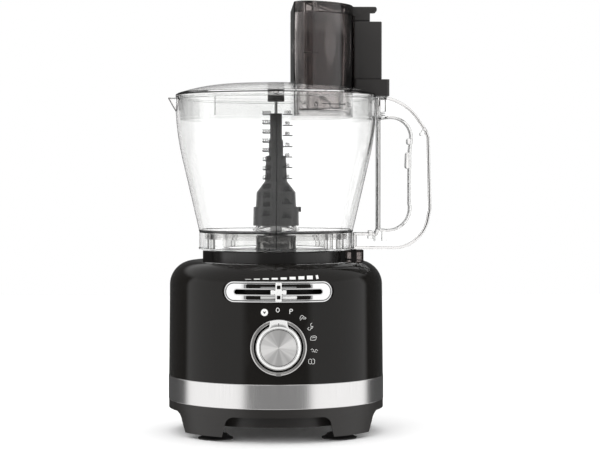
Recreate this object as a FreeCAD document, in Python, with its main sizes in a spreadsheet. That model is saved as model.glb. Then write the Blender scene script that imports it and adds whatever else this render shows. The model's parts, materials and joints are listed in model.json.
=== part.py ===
"""A kitchen food processor with a clear bowl, in millimetres.

+Z is up, +X is the handle side and -Y is the front. The origin is on the worktop, under the drive
axis. Every sub-part is an object of the document "FoodProcessor", sized by its sheet "Sizes".
"""
import FreeCAD, Part
import os

import Sketcher

UPRIGHT = FreeCAD.Rotation()
TO_FRONT = FreeCAD.Rotation(FreeCAD.Vector(1, 0, 0), 90)
TO_REAR = FreeCAD.Rotation(FreeCAD.Vector(1, 0, 0), -90)

SIZES = {
    # feet, legs and lower chassis
    "foot_radius": 17,
    "foot_place": 60,
    "leg_bottom": 4.9,
    "arch_top": 24.9,
    "arch_half_width": 50,
    "arch_spread": 4,
    "arch_corner": 9,
    "leg_inner_radius": 66,
    "tray_radius": 90,
    "tray_bottom": 13.7,
    "plate_radius": 64,
    "screw_place": 48,
    # base housing and its steel band
    "base_radius": 107,
    "band_bottom": 33,
    "band_top": 56.7,
    "band_radius": 107.3,
    "band_depth": 1.1,
    "housing_wall": 3,
    "shoulder_radius": 106,
    "shoulder_height": 148,
    "deck_radius": 82,
    "deck_height": 170.5,
    "collar_radius": 65,
    "collar_top": 181,
    "boss_radius": 19.8,
    # controls
    "knob_height": 92.2,
    "knob_radius": 22,
    "knob_face_radius": 17.3,
    "knob_face_floor": 112.8,
    "bezel_radius": 27,
    "slider_height": 144.6,
    "slider_half_length": 53,
    "slider_half_height": 9.9,
    "slot_half_length": 42,
    "slot_half_height": 3,
    # drive
    "shaft_radius": 5.9,
    "shaft_top": 245,
    "tube_radius": 12,
    "drive_pulley_radius": 46,
    "motor_pulley_radius": 10,
    "pulley_bottom": 20.5,
    "pulley_top": 30,
    "motor_offset": 62,
    "stator_radius": 35.5,
    "rotor_radius": 23,
    "belt_gap": 0.4,
    "belt_depth": 2,
    # bowl
    "skirt_radius": 76.5,
    "skirt_bottom": 181.6,
    "floor_height": 201,
    "bowl_waist_radius": 94.4,
    "bowl_waist_height": 276,
    "rim_radius": 100,
    "rim_height": 332.5,
    "bowl_wall": 2.8,
    "handle_half_width": 10,
    "handle_reach": 155.2,
    "post_line": 103.6,
    "rod_place": 106.5,
    # tool spindle
    "hub_radius": 23,
    "hub_bottom": 205.2,
    "hub_top": 223.9,
    "stem_radius": 6,
    "stem_top": 317,
    "pin_radius": 1.5,
    # lid, feed tube and pushers
    "lid_flange": 333,
    "lid_top": 346,
    "lid_skirt_radius": 96.2,
    "tube_bottom": 312.5,
    "tube_top": 413,
    "feed_left": 16,
    "feed_radius": 77,
    "feed_corner": 14,
    "feed_wall": 2.5,
    "pusher_gap": 0.5,
    "pusher_top": 423.5,
    "pusher_bottom": 318,
    "small_pusher_radius": 17.5,
    "small_pusher_place": 48,
    "box_left": 77.1,
    "box_wall": 3.4,
    "box_right": 105,
    "box_half_width": 12,
    "box_bottom": 350.7,
    "box_top": 408,
    "block_right": 112.7,
    "block_bottom": 334.3,
}


class Size:
    """A length: its number, and the expression that works it out from the sheet."""

    def __init__(self, value, text=None):
        self.value = float(value)
        self.text = text or f"({self.value})"

    def __add__(self, other):
        other = as_size(other)
        return Size(self.value + other.value, f"({self.text} + {other.text})")

    def __sub__(self, other):
        other = as_size(other)
        return Size(self.value - other.value, f"({self.text} - {other.text})")

    def __mul__(self, other):
        other = as_size(other)
        return Size(self.value * other.value, f"({self.text} * {other.text})")

    def __truediv__(self, other):
        other = as_size(other)
        return Size(self.value / other.value, f"({self.text} / {other.text})")

    def __neg__(self):
        return Size(0) - self

    def root(self):
        return Size(self.value ** 0.5, f"sqrt({self.text})")


def as_size(number):
    return number if isinstance(number, Size) else Size(number)


doc = FreeCAD.newDocument("FoodProcessor")
sheet = doc.addObject("Spreadsheet::Sheet", "Sizes")
for row, (alias, number) in enumerate(SIZES.items(), start=1):
    sheet.set(f"A{row}", alias)
    sheet.set(f"B{row}", str(number))
    sheet.setAlias(f"B{row}", alias)
doc.recompute()
sizes = {alias: Size(number, f"Sizes.{alias}") for alias, number in SIZES.items()}
sub_parts = []


def sub_part(item, name):
    """Names a finished piece and lists it for export."""
    item.Label = name
    sub_parts.append(item)
    return item


def place(item, x=0, y=0, z=0, turn=UPRIGHT):
    x, y, z = as_size(x), as_size(y), as_size(z)
    item.Placement = FreeCAD.Placement(FreeCAD.Vector(x.value, y.value, z.value), turn)
    for axis, size in (("x", x), ("y", y), ("z", z)):
        if "Sizes." in size.text:
            item.setExpression(f".Placement.Base.{axis}", size.text)
    return item


# Primitives


def cylinder(name, radius, low, high, x=0, y=0):
    """A round bar from low to high along Z."""
    item = doc.addObject("Part::Cylinder", name)
    item.setExpression("Radius", as_size(radius).text)
    item.setExpression("Height", (as_size(high) - low).text)
    return place(item, x, y, low)


def cylinder_along_y(name, radius, front, rear, x, z):
    item = doc.addObject("Part::Cylinder", name)
    item.setExpression("Radius", as_size(radius).text)
    item.setExpression("Height", (as_size(rear) - front).text)
    return place(item, x, front, z, TO_REAR)


def box(name, across, deep, tall):
    """A box from its low and high x, y and z."""
    item = doc.addObject("Part::Box", name)
    for side, (low, high) in zip(("Length", "Width", "Height"), (across, deep, tall)):
        item.setExpression(side, (as_size(high) - low).text)
    return place(item, across[0], deep[0], tall[0])


def fuse(name, *pieces):
    item = doc.addObject("Part::MultiFuse", name)
    item.Shapes = list(pieces)
    return item


def cut(name, base, *tools):
    item = doc.addObject("Part::Cut", name)
    item.Base = base
    item.Tool = tools[0] if len(tools) == 1 else fuse(name + "_cutters", *tools)
    return item


def common(name, base, tool):
    item = doc.addObject("Part::Common", name)
    item.Base = base
    item.Tool = tool
    return item


# Outlines: a list of points, with a Bend between two of them where the edge is an arc


class Bend:
    """An arc's radius: positive turns left along the outline, negative turns right."""

    def __init__(self, radius):
        self.radius = as_size(radius)


def rounded_rectangle(left, right, low, high, corner):
    left, right, low, high = (as_size(side) for side in (left, right, low, high))
    return [
        (left + corner, low), (right - corner, low), Bend(corner),
        (right, low + corner), (right, high - corner), Bend(corner),
        (right - corner, high), (left + corner, high), Bend(corner),
        (left, high - corner), (left, low + corner), Bend(corner),
    ]


def feed_outline(inset):
    """The D of the feed tube: flat to the middle of the lid, round about the drive axis."""
    left = sizes["feed_left"] + inset
    radius = sizes["feed_radius"] - inset
    corner = sizes["feed_corner"] - inset
    centre_x = sizes["feed_left"] + sizes["feed_corner"]
    reach = sizes["feed_radius"] - sizes["feed_corner"]
    centre_y = (reach * reach - centre_x * centre_x).root()
    touch_x = centre_x * radius / reach
    touch_y = centre_y * radius / reach
    return [
        (left, -centre_y), Bend(corner),
        (touch_x, -touch_y), Bend(radius),
        (touch_x, touch_y), Bend(corner),
        (left, centre_y),
    ]


def belt_outline(gap):
    """A loop round both pulleys, gap outside their rims."""
    big = sizes["drive_pulley_radius"] + gap
    small = sizes["motor_pulley_radius"] + gap
    lean = (big - small) / sizes["motor_offset"]
    out = (Size(1) - lean * lean).root()
    return [
        (Size(0), -big), Bend(big),
        (big * out, big * lean),
        (small * out, sizes["motor_offset"] + small * lean), Bend(small),
        (-(small * out), sizes["motor_offset"] + small * lean),
        (-(big * out), big * lean), Bend(big),
    ]


def arc_between(start, end, radius):
    """A Part arc from start to end; the sketcher stores it anticlockwise."""
    chord = end - start
    middle = (start + end) * 0.5
    height = max(radius ** 2 - (chord.Length / 2) ** 2, 0) ** 0.5
    left = FreeCAD.Vector(-chord.y, chord.x, 0).normalize()
    side = 1 if radius > 0 else -1
    centre = middle + left * height * side
    crown = centre - left * abs(radius) * side
    return Part.Arc(start, crown, end)


def draw(sketch, outline):
    """Draws a closed outline, with every point and radius held by the sheet."""
    points = []
    bends = {}
    for item in outline:
        if isinstance(item, Bend):
            bends[len(points) - 1] = item.radius
        else:
            points.append((as_size(item[0]), as_size(item[1])))
    vectors = [FreeCAD.Vector(x.value, y.value, 0) for x, y in points]
    first = sketch.GeometryCount
    edges = []
    ends = []
    for index, start in enumerate(vectors):
        end = vectors[(index + 1) % len(vectors)]
        if index in bends:
            edges.append(arc_between(start, end, bends[index].value))
            ends.append((1, 2) if bends[index].value > 0 else (2, 1))
        else:
            edges.append(Part.LineSegment(start, end))
            ends.append((1, 2))
    sketch.addGeometry(edges, False)
    rules = []
    texts = []
    for index, (x, y) in enumerate(points):
        here = first + index
        following = (index + 1) % len(points)
        rules.append(Sketcher.Constraint(
            "Coincident", here, ends[index][1], first + following, ends[following][0]))
        texts.append(None)
        for kind, size, axis in (("DistanceX", x, -2), ("DistanceY", y, -1)):
            if size.value == 0:
                rules.append(Sketcher.Constraint("PointOnObject", here, ends[index][0], axis))
                texts.append(None)
            else:
                rules.append(Sketcher.Constraint(kind, -1, 1, here, ends[index][0], size.value))
                texts.append(size.text)
        if index in bends:
            radius = bends[index]
            rules.append(Sketcher.Constraint("Radius", here, abs(radius.value)))
            texts.append(radius.text if radius.value > 0 else (-radius).text)
    offset = sketch.ConstraintCount
    sketch.addConstraint(rules)
    for index, text in enumerate(texts):
        if text and "Sizes." in text:
            sketch.setExpression(f"Constraints[{offset + index}]", text)


def new_sketch(body, name, role, offset=0):
    sketch = body.newObject("Sketcher::SketchObject", name)
    plane = next(item for item in body.Origin.OriginFeatures if item.Role == role)
    sketch.AttachmentSupport = [(plane, "")]
    sketch.MapMode = "FlatFace"
    offset = as_size(offset)
    sketch.AttachmentOffset.Base.z = offset.value
    sketch.setExpression(".AttachmentOffset.Base.z", offset.text)
    return sketch


def turned(name, outline, angle=360, **where):
    """A body turned about Z from an outline of (radius, height) points."""
    body = doc.addObject("PartDesign::Body", name)
    sketch = new_sketch(body, name + "_profile", "XZ_Plane")
    draw(sketch, outline)
    spin = body.newObject("PartDesign::Revolution", name + "_turn")
    spin.Profile = sketch
    spin.ReferenceAxis = (sketch, ["V_Axis"])
    spin.Angle = angle
    spin.Midplane = angle < 360
    return place(body, **where)


def upright(name, low, high, *outlines, **where):
    """A body with a constant plan between two heights; further outlines are its holes."""
    body = doc.addObject("PartDesign::Body", name)
    sketch = new_sketch(body, name + "_plan", "XY_Plane", low)
    for outline in outlines:
        draw(sketch, outline)
    pad = body.newObject("PartDesign::Pad", name + "_pad")
    pad.Profile = sketch
    pad.setExpression("Length", (as_size(high) - low).text)
    return place(body, **where)


def front_view(name, half_width, *outlines, y=0):
    """A body with a constant front view, half_width to each side of the plane at y."""
    body = doc.addObject("PartDesign::Body", name)
    sketch = new_sketch(body, name + "_view", "XZ_Plane")
    for outline in outlines:
        draw(sketch, outline)
    pad = body.newObject("PartDesign::Pad", name + "_pad")
    pad.Profile = sketch
    pad.Midplane = True
    pad.setExpression("Length", (as_size(half_width) * 2).text)
    return place(body, y=y)


def ring_outline(inner, outer, low, high):
    return [(inner, low), (outer, low), (outer, high), (inner, high)]


# Feet, legs and lower chassis


def build_feet():
    bottom = sizes["leg_bottom"]
    for name, x_side, y_side in (
        ("foot_front_left", -1, -1), ("foot_front_right", 1, -1),
        ("foot_rear_left", -1, 1), ("foot_rear_right", 1, 1),
    ):
        foot = turned(name, [
            (0, 0.6), (sizes["foot_radius"] - 3, 0.6), (sizes["foot_radius"] - 2.4, 0),
            (sizes["foot_radius"], 0), (sizes["foot_radius"], 1.2), Bend(-9),
            (sizes["foot_radius"] - 5.5, bottom), (5, bottom), (5, bottom + 8), (0, bottom + 8),
        ], x=sizes["foot_place"] * x_side, y=sizes["foot_place"] * y_side)
        sub_part(foot, name)


def build_chassis():
    base = sizes["base_radius"]
    tray = sizes["tray_radius"]
    floor = sizes["tray_bottom"]
    arch = sizes["arch_top"]
    bottom = sizes["leg_bottom"]
    half = sizes["arch_half_width"]
    foot = half + sizes["arch_spread"]
    corner = sizes["arch_corner"]
    ring = turned("chassis_ring", [
        (sizes["plate_radius"], floor), (tray, floor), (tray, arch), (base, arch),
        (base, sizes["band_bottom"]), (tray - 3, sizes["band_bottom"]), (tray - 3, floor + 3),
        (sizes["plate_radius"], floor + 3),
    ])
    legs = turned("leg_ring", [
        (sizes["leg_inner_radius"], bottom), (base - 2.6, bottom), (base, arch),
        (sizes["leg_inner_radius"], arch),
    ])
    arches = []
    for name, turn in (("arch_front", UPRIGHT), ("arch_side", FreeCAD.Rotation(90, 0, 0))):
        opening = front_view(name, base + 10, [
            (-foot, bottom - 1), (foot, bottom - 1), (half + 1, arch - corner), Bend(corner),
            (half - corner, arch), (-(half - corner), arch), Bend(corner),
            (-(half + 1), arch - corner),
        ])
        opening.Placement.Rotation = turn
        arches.append(opening)
    sockets = [
        cylinder(f"foot_socket_{x}_{y}", 5, bottom - 1, bottom + 8,
                 sizes["foot_place"] * x, sizes["foot_place"] * y)
        for x in (-1, 1) for y in (-1, 1)
    ]
    screw_holes = [
        cylinder(f"screw_hole_{x}_{y}", 1.6, floor - 1, floor + 6,
                 sizes["screw_place"] * x, sizes["screw_place"] * y)
        for x in (-1, 1) for y in (-1, 1)
    ]
    legs = cut("legs", legs, *arches)
    chassis = cut("chassis", fuse("chassis_blank", ring, legs), *sockets, *screw_holes)
    sub_part(chassis, "lower_chassis")


def build_bottom_plate():
    floor = sizes["tray_bottom"]
    disc = turned("plate_disc", [
        (0, floor), (sizes["plate_radius"], floor), (sizes["plate_radius"], floor + 3),
        (sizes["plate_radius"] + 7, floor + 3), (sizes["plate_radius"] + 7, floor + 5.5),
        (0, floor + 5.5),
    ])
    holes = [
        cylinder(f"plate_hole_{x}_{y}", 1.6, floor - 1, floor + 6,
                 sizes["screw_place"] * x, sizes["screw_place"] * y)
        for x in (-1, 1) for y in (-1, 1)
    ]
    sub_part(cut("plate", disc, *holes), "bottom_plate")
    screws = []
    for x in (-1, 1):
        for y in (-1, 1):
            screws.append(turned(f"screw_{x}_{y}", [
                (0, floor - 1.6), (3.2, floor - 1.6), (3.6, floor - 0.8), (3.6, floor),
                (1.6, floor), (1.6, floor + 5.5), (0, floor + 5.5),
            ], x=sizes["screw_place"] * x, y=sizes["screw_place"] * y))
    sub_part(fuse("screws", *screws), "base_screws")


# Housing, band and collar


def slider_oval(name, front, rear, half_length, half_height, lift=0):
    """A long rounded bar through the slider's place, from front to rear."""
    middle = sizes["slider_height"] + lift
    half_length, half_height = as_size(half_length), as_size(half_height)
    outline = rounded_rectangle(
        -half_length, half_length, middle - half_height, middle + half_height,
        half_height * 0.98)
    return front_view(name, (rear - front) / 2, outline, y=(front + rear) / 2)


def build_housing():
    base = sizes["base_radius"]
    wall = sizes["housing_wall"]
    seat = sizes["band_radius"] - sizes["band_depth"]
    deck = sizes["deck_height"]
    shell = turned("housing_shell", [
        (seat - wall, sizes["band_bottom"]), (seat, sizes["band_bottom"]),
        (seat, sizes["band_top"]), (base, sizes["band_top"]),
        (sizes["shoulder_radius"], sizes["shoulder_height"]), Bend(24),
        (sizes["deck_radius"], deck), (30, deck), (30, deck - wall),
        (sizes["deck_radius"], deck - wall), Bend(-21),
        (sizes["shoulder_radius"] - wall, sizes["shoulder_height"]), (base - wall, 60),
        (seat - wall, 58),
    ])
    bezel_seat = common(
        "bezel_seat",
        slider_oval("bezel_seat_bar", -125, -90, sizes["slider_half_length"],
                    sizes["slider_half_height"]),
        turned("bezel_seat_ring", ring_outline(base - 2, base + 12, 120, 166)))
    slot = slider_oval("housing_slot", -125, -85, sizes["slot_half_length"],
                       sizes["slot_half_height"])
    knob_hole = cylinder_along_y("knob_hole", sizes["bezel_radius"], -125, -95, 0,
                                 sizes["knob_height"])
    gland_hole = cylinder_along_y("gland_hole", 8.6, 95, 115, 0, 74)
    tower_hole = box("tower_hole", (69, 87), (-11, 11), (150, 185))
    housing = cut("housing", shell, bezel_seat, slot, knob_hole, gland_hole, tower_hole)
    sub_part(housing, "base_housing")
    band = turned("band", [
        (seat, sizes["band_bottom"]), (sizes["band_radius"] - 0.4, sizes["band_bottom"]),
        (sizes["band_radius"], sizes["band_bottom"] + 0.5),
        (sizes["band_radius"], sizes["band_top"] - 0.5),
        (sizes["band_radius"] - 0.4, sizes["band_top"]), (seat, sizes["band_top"]),
    ])
    sub_part(band, "trim_band")


def build_collar():
    deck = sizes["deck_height"]
    top = sizes["collar_top"]
    collar = sizes["collar_radius"]
    tube = sizes["tube_radius"]
    boss = sizes["boss_radius"]
    ring = turned("collar_ring", [
        (tube, deck), (collar, deck), (collar, top - 1), (collar - 1, top),
        (boss, top), (boss, 194.5), (boss - 1, 195.5), (tube, 195.5),
    ])
    lugs = [
        box(f"collar_lug_{name}", across, (-9, 9), (deck, top - 1))
        for name, across in (("left", (-73, -62)), ("right", (62, 69)))
    ]
    sub_part(fuse("collar", ring, *lugs), "bowl_collar")
    tower = box("tower_block", (69, 87), (-11, 11), (158, 180.6))
    hollow = box("tower_hollow", (71, 85), (-9, 9), (157, 178.4))
    button_hole = cylinder("button_hole", 3.4, 170, 185, 78)
    sub_part(cut("tower", tower, hollow, button_hole), "interlock_tower")
    sub_part(box("switch_case", (72, 84), (-8, 8), (141, 157)), "interlock_switch")
    button = turned("button", [
        (0, 159), (5, 159), (5, 161), (3, 161), (3, 180.4), (2.4, 181.2), (0, 181.2),
    ], x=78)
    sub_part(button, "switch_button")


# Controls


def build_slider():
    base = sizes["base_radius"]
    middle = sizes["slider_height"]
    bar = slider_oval("bezel_bar", -125, -90, sizes["slider_half_length"],
                      sizes["slider_half_height"])
    skin = turned("bezel_skin", ring_outline(base - 2, base + 1.3, 120, 166))
    slot = slider_oval("bezel_slot", -125, -85, sizes["slot_half_length"],
                       sizes["slot_half_height"])
    recesses = [
        common(f"bezel_recess_{name}",
               slider_oval(f"recess_bar_{name}", -125, -90, 32, 2.1, lift),
               turned(f"recess_skin_{name}", ring_outline(base + 0.5, base + 12, 120, 166)))
        for name, lift in (("upper", 6), ("lower", -6))
    ]
    bezel = cut("bezel", common("bezel_blank", bar, skin), slot, *recesses)
    sub_part(bezel, "slider_bezel")

    bore = cylinder("grip_bore", base + 1.7, 120, 166)
    upright_bar = box("grip_bar", (-3, 3), (-112.5, -106), (middle - 9, middle + 9))
    cross_bar = box("grip_cross", (-7.5, 7.5), (-113.5, -106), (middle - 1.9, middle + 1.9))
    grip = cut("grip", fuse("grip_blank", upright_bar, cross_bar), bore)
    sub_part(grip, "slider_grip")
    arm = common("arm", box("arm_bar", (-2.2, 2.2), (-112, -90), (middle - 2, middle + 2)),
                 turned("arm_limits", ring_outline(93.4, base + 1.7, 120, 166)))
    sub_part(arm, "slider_arm")
    track = turned("track", ring_outline(84, 92.6, middle - 6, middle + 6), angle=50)
    track.Placement.Rotation = FreeCAD.Rotation(-90, 0, 0)
    sub_part(track, "speed_potentiometer")


def build_knob():
    """The knob turns about an axis that points to the front; heights here run forward."""
    where = {"z": sizes["knob_height"], "turn": TO_FRONT}
    knob = sizes["knob_radius"]
    bezel = sizes["bezel_radius"]
    face = sizes["knob_face_radius"]
    floor = sizes["knob_face_floor"]
    cup = turned("knob_cup", [
        (3.4, 98), (bezel, 98), (bezel, 108), Bend(1.2), (bezel - 1.2, 109.2),
        (knob + 1.4, 109.2), (knob + 0.8, 108.6), (knob + 0.8, 101.5), (3.4, 101.5),
    ], **where)
    sub_part(cup, "knob_bezel")
    ring = turned("knob_ring", [
        (3, 102), (knob, 102), (knob, 112.6), Bend(2), (knob - 2, 114.6),
        (face + 0.6, 114.6), (face, 114), (face, floor), (3, floor),
    ], **where)
    pointer = upright("knob_pointer", 109.8, 113.4, [
        (-11, 18), (11, 18), (8.3, bezel - 0.8), Bend(bezel), (-8.3, bezel - 0.8),
    ], **where)
    face_hollow = turned("knob_face_hollow", ring_outline(0, face, floor, 116), **where)
    grip = cut("knob_grip", fuse("knob_blank", ring, pointer), face_hollow)
    sub_part(grip, "selector_knob")
    disc = turned("knob_face", [
        (0, floor), (face - 0.2, floor), (face - 0.2, 114), (face - 0.8, 114.6), (0, 114.9),
    ], **where)
    sub_part(disc, "knob_disc")
    shaft = turned("knob_spindle", ring_outline(0, 3, 62, floor), **where)
    sub_part(shaft, "knob_shaft")
    switch = turned("switch_body", [
        (3.4, 66), (18, 66), (18, 84), (8, 84), (8, 97.9), (3.4, 97.9),
    ], **where)
    sub_part(switch, "selector_switch")


# Drive train


def build_drive():
    shaft = sizes["shaft_radius"]
    tube = sizes["tube_radius"]
    low = sizes["pulley_bottom"]
    high = sizes["pulley_top"]
    deck = sizes["deck_height"]
    sub_part(turned("spindle", [
        (0, low), (shaft, low), (shaft, sizes["shaft_top"] - 1.5),
        (shaft - 1.5, sizes["shaft_top"]), (0, sizes["shaft_top"]),
    ]), "drive_shaft")
    big = sizes["drive_pulley_radius"]
    sub_part(turned("big_pulley", [
        (shaft, low), (tube, low), (tube, low + 3), (big - 5, low + 3), (big - 5, low),
        (big, low), (big, high), (big - 5, high), (big - 5, low + 6), (tube, low + 6),
        (tube, high), (shaft, high),
    ]), "drive_pulley")
    flange = deck - sizes["housing_wall"]
    sub_part(turned("spindle_tube", [
        (8.5, 36), (tube, 36), (tube, flange - 6), (34, flange - 6), (34, flange),
        (tube, flange), (tube, 197), (8.5, 197),
    ]), "spindle_housing")
    for name, bottom in (("lower_bearing", 40), ("upper_bearing", 186)):
        sub_part(turned(name, ring_outline(shaft + 0.05, 8.5, bottom, bottom + 9)), name)
    belt = upright("belt", low + 1.5, high - 1.5,
                   belt_outline(sizes["belt_gap"] + sizes["belt_depth"]),
                   belt_outline(sizes["belt_gap"]))
    sub_part(belt, "drive_belt")


def build_motor():
    where = {"y": sizes["motor_offset"]}
    stator = sizes["stator_radius"]
    rotor = sizes["rotor_radius"]
    small = sizes["motor_pulley_radius"]
    low = sizes["pulley_bottom"]
    high = sizes["pulley_top"]
    plate = turned("bracket_plate", ring_outline(6.4, 100, 33, 36))
    cup = turned("bracket_cup", ring_outline(stator, stator + 3, 34, 54), **where)
    fan_room = cylinder("bracket_bore", 4.05, 30, 40, 0, sizes["motor_offset"])
    sub_part(cut("bracket", fuse("bracket_blank", plate, cup), fan_room), "motor_bracket")

    core = turned("stator_core", ring_outline(rotor + 0.6, stator, 50, 98), **where)
    bars = []
    for name, x_side, y_side in (("a", 1, 1), ("b", 1, -1), ("c", -1, 1), ("d", -1, -1)):
        bars.append(box(f"winding_bar_{name}", (x_side * 20 - 3, x_side * 20 + 3),
                        (sizes["motor_offset"] + y_side * 20 - 3,
                         sizes["motor_offset"] + y_side * 20 + 3), (48, 100)))
    sub_part(cut("stator", core, *bars), "motor_stator")
    rings = [
        turned(f"winding_ring_{name}", ring_outline(24.5, 32.5, bottom, bottom + 5.8), **where)
        for name, bottom in (("low", 44.2), ("high", 98))
    ]
    sub_part(fuse("windings", *rings, *bars), "motor_windings")
    cap = turned("end_cap", [
        (4.05, 115), (stator - 2.5, 115), (stator - 2.5, 98), (stator, 98), (stator, 118),
        (4.05, 118),
    ], **where)
    sub_part(cap, "motor_end_cap")
    holders = [
        box(f"brush_{name}", across, (sizes["motor_offset"] - 4, sizes["motor_offset"] + 4),
            (106, 115))
        for name, across in (("left", (-24, -11.4)), ("right", (11.4, 24)))
    ]
    sub_part(fuse("brushes", *holders), "brush_holders")
    armature = turned("armature", [
        (0, low), (4, low), (4, 52), (rotor, 52), (rotor, 96), (4, 96), (4, 104),
        (10.8, 104), (10.8, 113.5), (4, 113.5), (4, 121), (0, 121),
    ], **where)
    sub_part(armature, "motor_armature")
    sub_part(turned("small_pulley", ring_outline(4, small, low, high), **where),
             "motor_pulley")
    fan_hub = turned("fan_hub", [
        (4, 37.5), (31, 37.5), (31, 38.5), (8, 38.5), (8, 43), (4, 43),
    ], **where)
    blades = []
    for number in range(10):
        blade = box(f"fan_blade_{number}", (7, 30), (-0.6, 0.6), (38, 43))
        turn = FreeCAD.Rotation(36 * number, 0, 0)
        reach = turn.multVec(FreeCAD.Vector(7, -0.6, 0))
        place(blade, reach.x, sizes["motor_offset"] + reach.y, 38, turn)
        blades.append(blade)
    sub_part(fuse("fan", fan_hub, *blades), "cooling_fan")


def build_electrics():
    sub_part(box("board", (-78, -75), (-38, 38), (36, 112)), "control_board")
    gland = turned("gland", [
        (3.75, 98), (11, 98), (11, 100.5), (8.6, 100.5), (8.6, 107.5), (10, 107.5),
        (10, 109.5), (7.6, 115), (3.75, 115),
    ], z=74, turn=TO_REAR)
    sub_part(gland, "cord_gland")


# Bowl and handle


def bowl_outside():
    """The outer line of the bowl from its skirt to its rim."""
    rim = sizes["rim_radius"]
    return [
        (sizes["skirt_radius"], sizes["skirt_bottom"]), (sizes["skirt_radius"], 198.5),
        (sizes["bowl_waist_radius"], sizes["bowl_waist_height"]), Bend(240),
        (rim - 0.4, 313), (rim, 318.5), (rim, sizes["rim_height"]),
    ]


def build_bowl():
    rim = sizes["rim_radius"]
    top = sizes["rim_height"]
    wall = sizes["bowl_wall"]
    floor = sizes["floor_height"]
    skirt = sizes["skirt_radius"] - wall
    shell = turned("bowl_shell", bowl_outside() + [
        (rim - wall, top), (rim - wall, 318.5), (rim - wall - 0.4, 313), Bend(-240),
        (sizes["bowl_waist_radius"] - wall, sizes["bowl_waist_height"]),
        (sizes["skirt_radius"] - wall + 0.5, floor), (24, floor), (19.5, floor + 4),
        (13, floor + 21), (10.4, floor + 21), (10.4, floor + 18.5), (16.8, floor + 1.5),
        (20.5, floor - wall), (skirt, floor - wall), (skirt, sizes["skirt_bottom"]),
    ])
    spout = front_view("spout_block", 9, [
        (-98, 318.5), (-98, top), (-107.5, top), (-107.1, top - 1.4), (-99.4, 318.5),
    ])
    spout_hollow = front_view("spout_hollow", 7, [
        (-96, 319), (-98.6, 321), (-105.4, top + 1), (-96, top + 1),
    ])
    sub_part(cut("bowl_body", fuse("bowl_blank", shell, spout), spout_hollow), "bowl")
    seal = turned("seal", [
        (6.5, floor + 14), (9.8, floor + 14), (9.8, floor + 18.5), (10.4, floor + 18.5),
        (10.4, floor + 21), (6.5, floor + 21),
    ])
    sub_part(seal, "drive_seal")
    sub_part(turned("seat_ring", ring_outline(62, 71, 192, 197.4)), "bowl_seat")


def build_handle():
    post = sizes["post_line"]
    reach = sizes["handle_reach"]
    top = sizes["rim_height"] + 1
    bottom = sizes["skirt_bottom"]
    inside = bowl_outside() + [(0, sizes["rim_height"]), (0, bottom)]
    loop = front_view("handle_loop", sizes["handle_half_width"], [
        (70, bottom), (114, bottom), Bend(68), (reach - 1.5, 215), (reach, 221),
        (reach - 2, 293), (reach - 5, 301), (144.5, 309.2), Bend(52), (112, top),
        (100.4, top), (100.4, 309.4), (post - 3, 309.4), (post - 3, 200.8), (70, 200.8),
    ], [
        (post + 1, 310.9), (114, 311.9), Bend(-21), (134.2, 291), (132.4, 277),
        (132.4, 226.5), Bend(-25), (108, 201.4), (post + 1, 201.4), (post, 203),
        (post, 309),
    ])
    web = front_view("handle_web", 1.5, [
        (70, 196), (post - 2, 196), (post - 2, 312), (90, 312),
    ])
    channel = cylinder("rod_channel", 4.2, 311.4, 340, sizes["rod_place"])
    blank = cut("handle_blank", fuse("handle_fused", loop, web), turned("bowl_solid", inside),
                channel)
    cover_zone = box("cover_zone", (149.5, 170), (-20, 20), (217, 297))
    sub_part(cut("handle_main", blank, cover_zone), "bowl_handle")
    sub_part(common("handle_strip", blank, cover_zone), "handle_cover")
    rod = turned("rod", [
        (0, 319), (3.7, 319), (3.7, 331), (2.8, 332.2), (0, 332.2),
    ], x=sizes["rod_place"])
    sub_part(rod, "interlock_rod")
    spring = turned("lower_spring", ring_outline(2.2, 3.6, 311.6, 318.8), x=sizes["rod_place"])
    sub_part(spring, "rod_spring")


def build_tool_spindle():
    hub = sizes["hub_radius"]
    top = sizes["hub_top"]
    stem = sizes["stem_radius"]
    column = turned("column", [
        (hub - 2, sizes["hub_bottom"]), (hub, sizes["hub_bottom"]), (hub - 0.4, top),
        (hub - 2.7, top), (hub - 3.5, top + 14.6), (stem + 5.1, 249.5), (stem + 4, 274.8),
        (stem + 1.2, 274.8), (stem + 1.2, 290.5), (stem, 290.5), (stem, sizes["stem_top"]),
        (0, sizes["stem_top"]), (0, 247), (sizes["shaft_radius"] + 0.35, 247),
        (sizes["shaft_radius"] + 0.35, top + 2.5), (hub - 2, top - 0.9),
    ])
    tab = box("column_tab", (hub - 1, hub + 2), (-2, 2), (top - 5, top))
    sub_part(fuse("spindle_column", column, tab), "tool_spindle")
    pin = turned("pin", [
        (0, sizes["stem_top"]), (sizes["pin_radius"], sizes["stem_top"]),
        (sizes["pin_radius"], 333), (1, 334), (0, 334),
    ])
    sub_part(pin, "spindle_pin")


# Lid, feed tube, interlock box and pushers


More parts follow.
